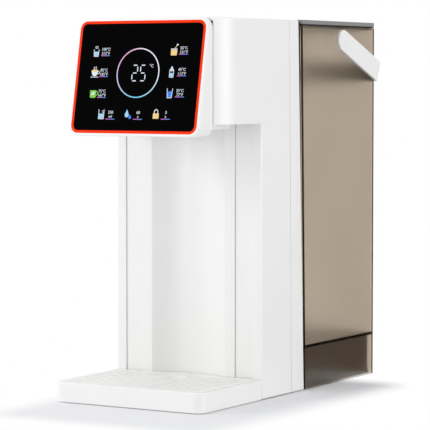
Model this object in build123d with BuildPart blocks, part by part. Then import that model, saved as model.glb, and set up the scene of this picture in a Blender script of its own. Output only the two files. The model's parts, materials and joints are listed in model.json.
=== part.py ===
from build123d import *
import os
from math import asin, cos, radians, sin, sqrt, tan

os.makedirs("parts", exist_ok=True)

# Desktop hot water dispenser, in the pieces that it comes apart into on a bench.
# Millimetres. The panel faces -Y, +X is to the right of someone who faces it, +Z is up.
# The origin is on the table, in the middle of the box around the part.

# Fits
fit = 0.3
running = 0.05
seam = 0.5

# Casing
body_width = 140.0
body_height = 308.2
wall = 2.5
edge_round = 1.5
side_depth = 49.3
seam_lean = 4.3
shell_lip = 9.1
lip_round = 0.6
tongue_length = 4.0
tongue_thickness = 1.5
rear_frame_depth = 20.9
rear_lean = 10.5
rear_panel_foot = 1.8
rear_panel_head = 6.0
rear_panel_inset = 1.8

# Base and feet
base_thickness = 3.0
foot_height = 1.0
foot_radius = 7.0
foot_margin = 21.4
foot_inset = 14.0

# Screws
screw_radius = 1.5
screw_head_radius = 2.8
screw_head_height = 1.6
base_screw_length = 12.0
boss_radius = 4.5
boss_inset = 11.0

# Pillars and niche
pillar_step = 1.1
pillar_width = 15.6
niche_lip = 9.5
niche_depth = 13.5
niche_wall = 2.2
rail_height = 13.0
rail_gap = 1.3

# Overhanging block, its cover and the nozzle
block_height = 84.2
block_reach = 61.0
block_taper = 8.35
block_taper_depth = 21.8
cover_margin = 13.0
cover_depth = 38.0
cover_setback = 1.0
cover_drop = 4.0
cover_round = 12.0
nozzle_setback = 25.5
nozzle_radius = 8.0
nozzle_bore = 4.2
nozzle_drop = 6.0
nozzle_flange = 3.0

# Head and panel
head_height = 94.1
head_rise = 0.2
head_nose = 22.5
head_tilt = 10.47
head_round = 9.0
head_edge = 0.9
head_gap = 1.0
gasket_play = 0.1
gasket_inset = 0.6
rim = 2.5
ring_width = 2.2
ring_round = 6.5
glass_thickness = 2.0
pocket_side = 2.0
pocket_height = 54.0
pocket_margin = 9.0
pocket_depth = 7.6
window_width = 52.0
window_height = 20.0
window_rise = 7.0
head_screw_spread = 41.0
head_screw_rise = 7.0
head_screw_pitch = 22.0
head_screw_bite = 3.5
board_thickness = 1.6
spring_height = 3.4
spring_radius = 2.5
digit_width = 44.0
digit_height = 18.0
digit_rise = 2.0

# Drip tray and grille
tray_depth = 92.4
tray_gap = 0.5
tray_lift = 0.6
tray_height = 16.0
tray_wall = 2.5
tray_floor = 2.5
tray_round = 8.0
tray_ledge = 2.5
tray_edge = 0.8
tray_foot_radius = 5.0
prong_width = 9.0
prong_height = 5.0
prong_length = 9.0
prong_rise = 6.0
grille_thickness = 3.2
grille_rise = 0.6
slot_width = 2.2
slot_pitch = 8.6
slot_margin = 4.0
rib_width = 3.0
rib_height = 1.4
rib_spread = 24.0
finger_hole = 7.0
finger_funnel = 10.0
finger_collar = 13.0

# Water tank, lid and handle
tank_gap = 0.8
tank_length = 124.8
tank_wall = 2.5
tank_round = 3.0
skirt_lift = 0.6
floor_height = 35.0
floor_thickness = 2.5
lid_rise = 0.4
lid_thickness = 3.4
lid_edge = 0.8
lid_skirt = 1.6
lid_skirt_wall = 1.8
lid_play = 0.5
seal_thickness = 1.1
pivot_setback = 62.5
pivot_drop = 15.7
stud_radius = 3.5
stud_length = 1.5
handle_width = 17.7
handle_thickness = 3.6
arm_thickness = 2.2
handle_round = 5.0
handle_bend = 7.0
inner_bend = 4.0
handle_droop = 22.0

# Tank valve, its seat and the level float
valve_setback = 53.5
valve_sleeve = 8.8
valve_bore = 6.8
valve_port = 5.6
valve_reach = 9.0
valve_flange = 14.0
valve_flange_height = 2.5
cage_height = 19.0
cage_post = 1.4
cage_roof = 2.0
poppet_radius = 8.4
poppet_thickness = 2.5
poppet_seal_height = 1.5
poppet_stem = 2.4
poppet_lift = 3.0
valve_spring_radius = 5.0
valve_spring_wire = 0.5
valve_spring_turns = 4.0
seat_radius = 16.0
seat_bore = 12.0
seat_sump = 9.0
seat_floor = 3.0
seat_depth = 22.0
seat_seal_height = 3.0
seat_flange = 19.0
seat_pin = 2.0
post_setback = 18.5
post_margin = 25.4
post_radius = 2.5
post_foot = 6.0
post_height = 40.0
float_radius = 11.0
float_height = 16.0
sensor_width = 12.0
sensor_depth = 8.0
sensor_height = 16.0

# Pump, heater and hoses
barb_radius = 4.5
barb_bore = 3.0
barb_length = 12.0
hose_wall = 1.75
inlet_bend = 16.0
feed_bend = 12.0
outlet_bend = 14.0
hose_hole_play = 2.0
chassis_margin = 7.4
chassis_setback = 4.8
chassis_foot = 14.0
pump_offset = 20.0
pump_rise = 19.0
pump_radius = 17.0
chamber_radius = 14.0
chamber_depth = 9.0
pump_plate = 2.0
pump_cover_depth = 2.5
motor_radius = 15.5
motor_length = 18.0
outlet_offset = 10.0
outlet_height = 32.0
saddle_half = 13.0
saddle_inset = 2.0
saddle_drop = 6.0
shaft_radius = 1.5
impeller_radius = 12.5
impeller_gap = 0.8
impeller_disc = 2.0
vane_thickness = 1.4
vane_count = 6
heater_margin = 31.4
heater_setback = 20.0
heater_radius = 15.0
heater_wall = 1.2
heater_foot = 100.0
heater_headroom = 33.5
cap_radius = 17.5
cap_overlap = 10.0
cap_plate = 4.0
element_radius = 2.2
element_half = 9.2
element_tail = 6.0
clamp_half = 20.0
clamp_height = 10.0
clamp_lap = 2.0
clamp_inset = 15.0
cutout_width = 16.0
cutout_depth = 7.0

# Electronics and cord entry
main_board_low = 86.0
main_board_headroom = 12.0
main_board_left = 3.0
main_board_margin = 3.0
standoff = 6.0
standoff_radius = 3.2
standoff_inset = 5.0
board_screw_length = 6.0
board_screw_radius = 1.25
board_screw_head = 2.4
relay_width = 16.0
relay_depth = 16.0
capacitor_height = 14.0
transformer_width = 26.0
transformer_depth = 18.0
sink_width = 14.0
sink_depth = 20.0
sink_fin = 1.4
sink_web = 2.5
sink_fin_count = 4
cable_radius = 2.0
cable_bend = 12.0
gland_radius = 6.0
gland_bore = 3.5
gland_flange = 8.5
gland_flange_height = 2.0
gland_length = 9.0
gland_rise = 16.0

# Worked out sizes
half = body_width / 2
tilt = radians(head_tilt)
droop = radians(handle_droop)
handle_inner = (pivot_setback + fit + handle_width / 2 * sin(droop)) / cos(droop)
handle_outer = handle_inner + handle_thickness
handle_corner = (handle_outer - handle_round) * cos(droop) + (handle_width / 2 - handle_round) * sin(droop)
handle_rear = handle_corner + handle_round
frame_wall = wall + fit + tongue_thickness
deck_half = half - frame_wall - fit
foot_spread = deck_half - foot_margin
post_offset = deck_half - post_margin
chassis_half = deck_half - chassis_margin
heater_offset = heater_margin - deck_half
main_board_width = chassis_half - main_board_left - main_board_margin
pillar_out = half - shell_lip - fit
pillar_in = pillar_out - pillar_width
niche_edge = pillar_in - fit
niche_half = niche_edge - niche_lip
block_arc = (block_taper**2 + block_taper_depth**2) / (2 * block_taper)
cover_half = half - cover_margin
head_width = body_width - 2 * block_taper
niche_radius = (niche_half**2 + niche_depth**2) / (2 * niche_depth)
panel_lean = rear_lean + rear_panel_foot - rear_panel_head
hose_inner = barb_radius + running
hose_outer = hose_inner + hose_wall
head_slant = head_height / cos(tilt)
ring_size = (head_width - 2 * rim, head_slant - 2 * rim)
glass_size = (ring_size[0] - 2 * ring_width, ring_size[1] - 2 * ring_width)
pocket_width = glass_size[0] - 2 * pocket_side

# Stations from front to back
casing_depth = side_depth + rear_frame_depth + rear_panel_foot
overall_depth = tray_depth + tray_gap + casing_depth + tank_gap + tank_length - pivot_setback + handle_rear
y_front = -overall_depth / 2
y_tray_back = y_front + tray_depth
y_shell = y_tray_back + tray_gap
y_pillar = y_shell + pillar_step
y_seam = y_shell + side_depth
y_rear = y_seam + rear_frame_depth
y_panel = y_rear + rear_panel_foot
y_tank = y_panel + tank_gap
y_tank_rear = y_tank + tank_length
y_dock_rear = y_tank_rear - tank_wall - (half - tank_wall - deck_half)
y_pivot = y_tank_rear - pivot_setback
y_block = y_shell - block_reach
y_niche = y_shell + niche_depth - niche_radius
y_rail = y_shell + niche_depth + niche_wall + rail_gap
y_nozzle = y_shell - nozzle_setback
y_chassis = y_seam + chassis_setback
y_heater = y_chassis - heater_setback
y_valve = y_tank + valve_setback
y_post = y_tank + post_setback
y_gland = y_seam + rear_frame_depth / 2

# Heights
z_base = foot_height
z_deck = z_base + base_thickness
z_top = body_height
z_block = z_top - block_height
z_cover = z_block + wall
z_chassis = z_block - wall
z_head_top = z_top + head_rise
z_head = z_head_top - head_height
z_head_mid = (z_head + z_head_top) / 2
z_tray = tray_lift + tray_height
z_grille = z_tray + grille_rise
z_ledge = z_grille - grille_thickness
z_floor = floor_height + floor_thickness
z_dock = floor_height - fit
z_lid_top = z_top + lid_rise
z_lid = z_lid_top - lid_thickness
z_seal = z_lid - seal_thickness
z_rim = z_seal - fit
z_pivot = z_top - pivot_drop
z_pump = z_deck + pump_rise
z_heater = z_chassis - heater_headroom
heater_length = z_heater - heater_foot
cutout_height = (heater_length - 2 * cap_overlap) / 4.25
cutout_pitch = 1.625 * cutout_height
main_board_height = z_chassis - main_board_headroom - main_board_low
board_bay = main_board_height / 4
relay_size = (relay_width, relay_depth, board_bay - standoff_inset)
transformer_size = (transformer_width, transformer_depth, board_bay - standoff_inset)
sink_size = (sink_width, sink_depth, 1.4 * board_bay)
capacitor_radius = board_bay / 6
z_sleeve = floor_height - valve_reach
z_seat = z_dock - seat_depth
z_sump = z_seat + seat_floor
z_outlet = z_sump + barb_radius
z_hose = z_cover + nozzle_flange + barb_length + outlet_bend + running

UP = (0, 0, 1)
DOWN = (0, 0, -1)
BACK = (0, 1, 0)
FORWARD = (0, -1, 0)
RIGHT = (1, 0, 0)
LEFT = (-1, 0, 0)
SIDES = (-1, 1)

face_plane = Plane(
    origin=(0, y_block - head_nose + (z_head_mid - z_head) * tan(tilt), z_head_mid),
    x_dir=RIGHT,
    z_dir=(0, -cos(tilt), sin(tilt)),
)
arm_plane = Plane(origin=(0, y_pivot, z_pivot), x_dir=RIGHT, z_dir=(0, sin(droop), cos(droop)))
arm_side = Plane(origin=(0, y_pivot, z_pivot), x_dir=(0, cos(droop), -sin(droop)), z_dir=RIGHT)


def lean(foot, shift, z):
    """Depth at height z of a line that starts at foot on the base and comes forward by shift at the top."""
    return foot - shift * (z - z_base) / (z_top - z_base)


def brick(low, high, mode=Mode.ADD):
    """Add or cut a box between two opposite corners."""
    with Locations(tuple((a + b) / 2 for a, b in zip(low, high))):
        Box(*(abs(b - a) for a, b in zip(low, high)), mode=mode)


def rod(start, direction, radius, length, mode=Mode.ADD):
    """Add or cut a round bar that runs from start along direction."""
    with Locations(Plane(origin=start, z_dir=direction)):
        Cylinder(radius, length, align=(Align.CENTER, Align.CENTER, Align.MIN), mode=mode)


def prism(points, reach, mode=Mode.ADD):
    """Add or cut a solid with the side view given by points, as wide as reach to each side."""
    with BuildSketch(Plane.YZ) as side:
        with BuildLine():
            Polyline(*points, close=True)
        make_face()
    extrude(side.sketch, amount=reach, both=True, mode=mode)


def block_plan(grow):
    """Plan of the overhanging block, whose sides curve in towards the head, grown by grow all round."""
    turn = block_arc + grow
    angle = asin((block_taper_depth + grow) / turn)
    x_turn = half - block_arc
    y_turn = y_block + block_taper_depth
    bow = (x_turn + turn * cos(angle / 2), y_turn - turn * sin(angle / 2))
    nose = (x_turn + turn * cos(angle), y_block - grow)
    side = (half + grow, y_turn)
    back = (half + grow, y_rail + wall - grow)
    with BuildSketch(mode=Mode.PRIVATE) as plan:
        with BuildLine():
            Line((-nose[0], nose[1]), nose)
            ThreePointArc(nose, bow, side)
            Polyline(side, back, (-back[0], back[1]), (-side[0], side[1]))
            ThreePointArc((-side[0], side[1]), (-bow[0], bow[1]), (-nose[0], nose[1]))
        make_face()
    return plan.sketch


def tray_plan(inset):
    """Plan of the tray's basin, drawn in by inset, with round front corners."""
    with BuildSketch(mode=Mode.PRIVATE) as plan:
        with Locations((0, y_front + inset)):
            Rectangle(body_width - 2 * inset, tray_depth - 2 * inset, align=(Align.CENTER, Align.MIN))
        fillet(plan.vertices().group_by(Axis.Y)[0], tray_round - inset)
    return plan.sketch


def tongue_plan(inset, y_from):
    """Plan of the tray's rear tongue in the niche, drawn in by inset and cut off in front of y_from."""
    with BuildSketch(mode=Mode.PRIVATE) as plan:
        with Locations((0, y_niche)):
            Circle(niche_radius - tray_gap - inset)
        with Locations((0, y_from)):
            Rectangle(body_width, body_width, align=(Align.CENTER, Align.MIN), mode=Mode.INTERSECT)
    return plan.sketch


def tube(points, bends, outer, inner):
    """Add a round hose along straight runs that are joined by arcs; inner is the radius of its bore."""
    with BuildLine(mode=Mode.PRIVATE) as route:
        FilletPolyline(*points, radius=bends)
    with BuildSketch(Plane(origin=route.line @ 0, z_dir=route.line % 0), mode=Mode.PRIVATE) as ring:
        Circle(outer)
        if inner:
            Circle(inner, mode=Mode.SUBTRACT)
    sweep(ring.sketch, path=route.line)


# Base plate: carries the chassis, the front frame and the tank dock
base_screw_places = [
    (side * (deck_half - boss_inset), y)
    for side in SIDES
    for y in (y_rail - boss_radius + wall, y_panel + 2 * boss_inset, y_dock_rear - 3 * boss_inset)
]

with BuildPart() as base_plate:
    brick((-deck_half, y_shell, z_base), (deck_half, y_dock_rear, z_deck))
    with BuildSketch(Plane.XY.offset(z_base)):
        add(tray_plan(-tray_gap))
        add(tongue_plan(-tray_gap, y_tray_back - tray_wall))
    extrude(amount=base_thickness, mode=Mode.SUBTRACT)
    with Locations(*(Plane(origin=(x, y, z_base), z_dir=DOWN) for x, y in base_screw_places)):
        CounterBoreHole(screw_radius + fit, screw_head_radius + fit, screw_head_height + fit)

with BuildPart() as rubber_feet:
    for side in SIDES:
        for y in (y_shell + foot_inset, y_dock_rear - foot_inset):
            rod((side * foot_spread, y, 0), UP, foot_radius, foot_height)
    fillet(rubber_feet.edges().group_by(Axis.Z)[0], foot_height / 4)

with BuildPart() as base_screws:
    for x, y in base_screw_places:
        rod((x, y, z_base + fit), UP, screw_head_radius, screw_head_height)
        rod((x, y, z_base + fit + screw_head_height), UP, screw_radius, base_screw_length)

# Outer shell: side panels, top and overhanging block in one piece
head_screw_places = [
    (side * head_screw_spread, z_block + head_screw_rise + step * head_screw_pitch)
    for side in SIDES
    for step in range(2)
]

with BuildPart() as outer_shell:
    prism(
        (
            (y_shell, z_base),
            (y_seam, z_base),
            (lean(y_seam, seam_lean, z_top), z_top),
            (y_shell, z_top),
        ),
        half,
    )
    with BuildSketch(Plane.XY.offset(z_block)):
        add(block_plan(0))
    extrude(amount=block_height)
    upright = outer_shell.edges().filter_by(Axis.Z)
    fillet(upright.filter_by_position(Axis.Y, y_shell - running, y_shell + running), edge_round)
    fillet(outer_shell.faces().sort_by(Axis.Z)[-1].edges().sort_by(Axis.Y)[:-1], edge_round)
    with BuildSketch(Plane.XY.offset(z_block)):
        add(block_plan(-wall))
    extrude(amount=block_height - wall, mode=Mode.SUBTRACT)
    brick((wall - half, y_rail, z_block - wall), (half - wall, y_rear, z_top - wall), Mode.SUBTRACT)
    brick((wall - half, y_shell + wall, 0), (half - wall, y_rear, z_block + wall), Mode.SUBTRACT)
    brick((shell_lip - half, y_shell - wall, 0), (half - shell_lip, y_rear, z_cover), Mode.SUBTRACT)
    brick((wall - half, y_shell - wall, 0), (half - wall, y_rear, z_deck + fit), Mode.SUBTRACT)
    upright = outer_shell.edges().filter_by(Axis.Z).filter_by_position(Axis.Y, y_shell - fit, y_shell + fit)
    fillet(upright.filter_by_position(Axis.X, -pillar_out - 2 * fit, pillar_out + 2 * fit), lip_round)
    z_window = z_block + window_rise
    brick(
        (-window_width / 2, y_block - wall, z_window),
        (window_width / 2, y_block + 2 * wall, z_window + window_height),
        Mode.SUBTRACT,
    )
    for x, z in head_screw_places:
        rod((x, y_block - wall, z), BACK, screw_radius + fit, 3 * wall, Mode.SUBTRACT)

# Front frame: two pillars set back from shell and niche, joined by a sill and a top rail behind the niche
prong_place = (pillar_in + pillar_out) / 2

with BuildPart() as front_frame:
    for side in SIDES:
        brick((side * pillar_in, y_pillar, z_deck), (side * pillar_out, y_rail + wall, z_block))
        brick(
            (side * (pillar_in + wall), y_pillar + wall, z_deck),
            (side * (pillar_out - wall), y_rail + 2 * wall, z_block),
            Mode.SUBTRACT,
        )
    brick((-pillar_out, y_rail, z_deck), (pillar_out, y_rail + wall, z_deck + rail_height))
    brick((-pillar_out, y_rail, z_block - rail_height), (pillar_out, y_rail + wall, z_block))
    for side in SIDES:
        boss = (side * (deck_half - boss_inset), y_rail - boss_radius + wall, z_deck)
        rod(boss, UP, boss_radius, rail_height)
        rod(boss, UP, screw_radius + running, rail_height, Mode.SUBTRACT)
        prong = side * prong_place
        brick(
            (prong - prong_width / 2 - fit, y_pillar - wall, prong_rise - fit),
            (prong + prong_width / 2 + fit, y_pillar + 2 * wall, prong_rise + prong_height + fit),
            Mode.SUBTRACT,
        )

# Niche panel: flat lips and a hollow that holds the back of a cup
with BuildPart() as niche_panel:
    with BuildSketch(Plane.XY.offset(z_deck)):
        with BuildLine():
            y_back = y_shell + niche_wall
            back_half = sqrt((niche_radius + niche_wall) ** 2 - (y_back - y_niche) ** 2)
            ThreePointArc((-niche_half, y_shell), (0, y_shell + niche_depth), (niche_half, y_shell))
            Polyline((niche_half, y_shell), (niche_edge, y_shell), (niche_edge, y_back), (back_half, y_back))
            ThreePointArc((back_half, y_back), (0, y_back + niche_depth), (-back_half, y_back))
            Polyline(
                (-back_half, y_back),
                (-niche_edge, y_back),
                (-niche_edge, y_shell),
                (-niche_half, y_shell),
            )
        make_face()
    extrude(amount=z_block - z_deck)
    upright = niche_panel.edges().filter_by(Axis.Z).group_by(Axis.Y)[0]
    fillet(upright, lip_round)

# Rear frame: the strips behind the seam, with a tongue that slides under the shell
with BuildPart() as rear_hoop:
    prism(
        (
            (y_seam + seam, z_base),
            (y_rear, z_base),
            (lean(y_rear, rear_lean, z_top), z_top),
            (lean(y_seam, seam_lean, z_top) + seam, z_top),
        ),
        half,
    )
    fillet(rear_hoop.faces().sort_by(Axis.Z)[-1].edges().filter_by(Axis.Y), edge_round)
    z_tongue = z_top - wall - fit
    prism(
        (
            (y_seam - tongue_length, z_base),
            (y_seam + 2 * seam, z_base),
            (lean(y_seam, seam_lean, z_tongue) + 2 * seam, z_tongue),
            (lean(y_seam, seam_lean, z_tongue) - tongue_length, z_tongue),
        ),
        half - wall - fit,
    )
    brick((frame_wall - half, y_shell, 0), (half - frame_wall, y_tank, z_top - frame_wall), Mode.SUBTRACT)
    rod((-half - wall, y_gland, gland_rise), RIGHT, gland_radius + running, 4 * wall, Mode.SUBTRACT)

strip_low = z_top - 2 * frame_wall

with BuildPart() as rear_frame:
    add(rear_hoop.part)
    brick((frame_wall - half, y_shell, strip_low), (half - frame_wall, y_tank, z_top + wall), Mode.SUBTRACT)

with BuildPart() as rear_top:
    add(rear_hoop.part)
    strip_half = half - frame_wall - fit
    brick((-strip_half, y_shell, strip_low), (strip_half, y_tank, z_top + wall), Mode.INTERSECT)

# Rear panel: dark wall between the casing and the tank
inlet_route = (
    (pump_offset, y_chassis + 2 * fit, z_pump),
    (pump_offset, y_chassis + barb_length + 2 * wall, z_pump),
    (0, y_valve - seat_radius - barb_length - 2 * wall, z_outlet),
    (0, y_valve - seat_radius - fit, z_outlet),
)


def hose_hole():
    """Cut the way of the inlet hose's slanted run, with room around the hose."""
    start = Vector(*inlet_route[1])
    run = Vector(*inlet_route[2]) - start
    rod(start - run / 2, run, hose_outer + hose_hole_play, 1.5 * run.length, Mode.SUBTRACT)


with BuildPart() as rear_panel:
    z_panel = z_top - rear_panel_inset
    prism(
        (
            (lean(y_rear, rear_lean, z_deck), z_deck),
            (lean(y_panel, panel_lean, z_deck), z_deck),
            (lean(y_panel, panel_lean, z_panel), z_panel),
            (lean(y_rear, rear_lean, z_panel), z_panel),
        ),
        half - rear_panel_inset,
    )
    hose_hole()

# Cover under the overhang: closes the block and holds the nozzle
with BuildPart() as underside_cover:
    with BuildSketch(Plane.XY.offset(z_block)):
        with Locations((0, y_block + wall + cover_setback)):
            Rectangle(2 * cover_half, cover_depth, align=(Align.CENTER, Align.MIN))
    extrude(amount=-cover_drop)
    fillet(underside_cover.edges().filter_by(Axis.Z), cover_round)
    fillet(underside_cover.faces().sort_by(Axis.Z)[0].edges(), cover_drop / 2)
    with BuildSketch(Plane.XY.offset(z_block)):
        add(block_plan(-wall - fit))
    extrude(amount=wall)
    rod((0, y_nozzle, z_block - 2 * cover_drop), UP, nozzle_radius + fit, 4 * cover_drop, Mode.SUBTRACT)

with BuildPart() as nozzle:
    z_tip = z_block - cover_drop - nozzle_drop
    rod((0, y_nozzle, z_tip), UP, nozzle_radius, z_cover - z_tip)
    chamfer(nozzle.edges().group_by(Axis.Z)[0], nozzle_bore / 2)
    rod((0, y_nozzle, z_cover), UP, nozzle_radius + nozzle_flange, nozzle_flange)
    rod((0, y_nozzle, z_cover + nozzle_flange), UP, barb_radius, barb_length)
    rod((0, y_nozzle, z_tip), UP, nozzle_bore, z_cover - z_tip, Mode.SUBTRACT)
    rod((0, y_nozzle, z_tip), UP, barb_bore, body_height, Mode.SUBTRACT)

# Head: tilted housing with a flat back, a narrow gap in front of the block
with BuildPart() as head_housing:
    with BuildSketch(Plane.XZ.offset(head_gap - y_block)):
        with Locations((0, z_head_mid)):
            RectangleRounded(head_width, head_height, head_round)
    extrude(amount=2 * head_nose)
    split(bisect_by=face_plane, keep=Keep.BOTTOM)
    fillet(head_housing.faces().sort_by_distance(face_plane.origin)[0].edges(), head_edge)
    with BuildSketch(face_plane):
        RectangleRounded(ring_size[0] + 2 * running, ring_size[1] + 2 * running, ring_round + running)
    extrude(amount=-glass_thickness, mode=Mode.SUBTRACT)
    pocket_low = pocket_margin - head_slant / 2
    with BuildSketch(face_plane):
        with Locations((0, pocket_low)):
            Rectangle(pocket_width, pocket_height, align=(Align.CENTER, Align.MIN))
    extrude(amount=-pocket_depth, mode=Mode.SUBTRACT)
    brick(
        (-window_width / 2, y_block - head_nose, z_window),
        (window_width / 2, y_block, z_window + window_height),
        Mode.SUBTRACT,
    )
    for x, z in head_screw_places:
        rod((x, y_block, z), FORWARD, screw_radius + running, head_gap + head_screw_bite, Mode.SUBTRACT)

with BuildPart() as head_gasket:
    brick(
        (gasket_inset - head_width / 2, y_block - head_gap + gasket_play, z_block + seam),
        (head_width / 2 - gasket_inset, y_block - gasket_play, z_top - 2 * edge_round),
    )
    brick(
        (-window_width / 2, y_block - head_nose, z_window),
        (window_width / 2, y_block, z_window + window_height),
        Mode.SUBTRACT,
    )
    for x, z in head_screw_places:
        rod((x, y_block - head_nose, z), BACK, screw_radius + fit, head_nose, Mode.SUBTRACT)

with BuildPart() as head_screws:
    for x, z in head_screw_places:
        rod((x, y_block + wall, z), BACK, screw_head_radius, screw_head_height)
        rod((x, y_block + wall, z), FORWARD, screw_radius, wall + head_gap + head_screw_bite - running)

with BuildPart() as bezel_ring:
    with BuildSketch(face_plane):
        RectangleRounded(*ring_size, ring_round)
        RectangleRounded(*glass_size, ring_round - ring_width, mode=Mode.SUBTRACT)
    extrude(amount=-glass_thickness)

with BuildPart() as touch_glass:
    with BuildSketch(face_plane):
        RectangleRounded(*(size - 2 * running for size in glass_size), ring_round - ring_width - running)
    extrude(amount=-glass_thickness)

pocket_middle = pocket_low + pocket_height / 2
with BuildPart() as display_board:
    with BuildSketch(face_plane.offset(-glass_thickness - spring_height)):
        with Locations((0, pocket_middle)):
            Rectangle(pocket_width - 2 * seam, pocket_height - 2 * seam)
    extrude(amount=-board_thickness)

with BuildPart() as digit_module:
    with BuildSketch(face_plane.offset(-glass_thickness - spring_height)):
        with Locations((0, digit_rise)):
            Rectangle(digit_width, digit_height)
    extrude(amount=spring_height - fit)

with BuildPart() as touch_springs:
    with BuildSketch(face_plane.offset(-glass_thickness - spring_height)):
        with Locations((0, pocket_middle)):
            with GridLocations(pocket_width - 4 * boss_radius, pocket_height / 3, 2, 3):
                Circle(spring_radius)
        with Locations((0, pocket_low + 2 * spring_radius)):
            with GridLocations(pocket_width / 4, 1, 3, 1):
                Circle(spring_radius)
    extrude(amount=spring_height - running)

# Drip tray: slides out forwards on two prongs
with BuildPart() as drip_tray:
    with BuildSketch(Plane.XY.offset(tray_lift)):
        add(tray_plan(0))
        add(tongue_plan(0, y_tray_back - tray_wall))
    extrude(amount=tray_height)
    fillet(drip_tray.faces().sort_by(Axis.Z)[-1].edges(), tray_edge)
    with BuildSketch(Plane.XY.offset(z_ledge)):
        add(tray_plan(tray_wall))
    extrude(amount=tray_height, mode=Mode.SUBTRACT)
    with BuildSketch(Plane.XY.offset(tray_lift + tray_floor)):
        add(tray_plan(tray_wall + tray_ledge))
    extrude(amount=tray_height, mode=Mode.SUBTRACT)
    with BuildSketch(Plane.XY.offset(tray_lift)):
        add(tongue_plan(tray_wall, y_tray_back))
    extrude(amount=tray_height - tray_floor, mode=Mode.SUBTRACT)
    for side in SIDES:
        brick(
            (side * prong_place - prong_width / 2, y_tray_back - tray_wall, prong_rise),
            (side * prong_place + prong_width / 2, y_tray_back + prong_length, prong_rise + prong_height),
        )

with BuildPart() as tray_feet:
    for side in SIDES:
        rod((side * (half - tray_round), y_front + tray_round, 0), UP, tray_foot_radius, tray_lift)

with BuildPart() as tray_grille:
    with BuildSketch(Plane.XY.offset(z_ledge)):
        add(tray_plan(tray_wall + fit))
    extrude(amount=grille_thickness)
    slot_edge = tray_wall + fit + slot_margin
    slot_count = int((tray_depth - 2 * slot_edge - slot_width) / slot_pitch) + 1
    slot_half = half - slot_edge
    with BuildSketch(Plane.XY.offset(z_ledge)):
        for row in range(slot_count):
            y_slot = y_front + slot_edge + slot_width / 2 + row * slot_pitch
            with Locations((0, y_slot)):
                SlotOverall(2 * slot_half, slot_width)
    extrude(amount=grille_thickness, mode=Mode.SUBTRACT)
    for side in SIDES:
        rib = side * rib_spread
        brick(
            (rib - rib_width / 2, y_front + slot_edge - slot_margin / 2, z_ledge),
            (rib + rib_width / 2, y_tray_back - slot_edge + slot_margin / 2, z_ledge + rib_height),
        )
    rod((0, y_nozzle, z_ledge), UP, finger_collar, grille_thickness)
    with Locations((0, y_nozzle, z_grille)):
        CounterSinkHole(finger_hole, finger_funnel)

# Water tank: side walls run on below the floor as a skirt that covers the dock
with BuildPart() as tank:
    prism(
        (
            (lean(y_tank, panel_lean, skirt_lift), skirt_lift),
            (y_tank_rear, skirt_lift),
            (y_tank_rear, z_rim),
            (lean(y_tank, panel_lean, z_rim), z_rim),
        ),
        half,
    )
    fillet(tank.edges().filter_by(Axis.Z), tank_round)
    prism(
        (
            (lean(y_tank, panel_lean, z_floor) + tank_wall, z_floor),
            (y_tank_rear - tank_wall, z_floor),
            (y_tank_rear - tank_wall, z_top),
            (lean(y_tank, panel_lean, z_top) + tank_wall, z_top),
        ),
        half - tank_wall,
        Mode.SUBTRACT,
    )
    brick(
        (tank_wall - half, y_seam, 0),
        (half - tank_wall, y_tank_rear - tank_wall, floor_height),
        Mode.SUBTRACT,
    )
    y_inside = y_tank_rear - tank_wall
    inner = tank.edges().filter_by(Axis.Z).filter_by_position(Axis.Y, y_inside - running, y_inside + running)
    fillet(inner, tank_round - tank_wall)
    for side in SIDES:
        rod((side * (half - running), y_pivot, z_pivot), (side, 0, 0), stud_radius, stud_length + running)
    rod((0, y_valve, 0), UP, valve_sleeve + fit, 2 * floor_height, Mode.SUBTRACT)

with BuildPart() as tank_lid:
    y_lid = lean(y_tank, panel_lean, z_rim)
    with BuildSketch(Plane.XY.offset(z_lid)):
        with Locations((0, y_lid)):
            Rectangle(body_width, y_tank_rear - y_lid, align=(Align.CENTER, Align.MIN))
    extrude(amount=lid_thickness)
    fillet(tank_lid.edges().filter_by(Axis.Z).group_by(Axis.Y)[-1], tank_round)
    fillet(tank_lid.faces().sort_by(Axis.Z)[-1].edges(), lid_edge)
    skirt_half = half - tank_wall - lid_play
    z_skirt = z_rim - lid_skirt
    y_skirt = lean(y_tank, panel_lean, z_skirt) + tank_wall + lid_play
    skirt_depth = y_tank_rear - tank_wall - lid_play - y_skirt
    with BuildSketch(Plane.XY.offset(z_skirt)):
        with Locations((0, y_skirt + skirt_depth / 2)):
            RectangleRounded(2 * skirt_half, skirt_depth, tank_round - tank_wall)
            open_half = skirt_half - lid_skirt_wall
            Rectangle(2 * open_half, skirt_depth - 2 * lid_skirt_wall, mode=Mode.SUBTRACT)
    extrude(amount=z_lid - z_skirt)

with BuildPart() as lid_seal:
    with BuildSketch(Plane.XY.offset(z_seal)) as seal_plan:
        with Locations((0, y_lid + fit)):
            Rectangle(body_width - 2 * fit, y_tank_rear - y_lid - 2 * fit, align=(Align.CENTER, Align.MIN))
        fillet(seal_plan.vertices().group_by(Axis.Y)[-1], tank_round)
        with Locations((0, y_skirt + skirt_depth / 2)):
            Rectangle(2 * (skirt_half + running), skirt_depth + 2 * running, mode=Mode.SUBTRACT)
    extrude(amount=seal_thickness)

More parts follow.
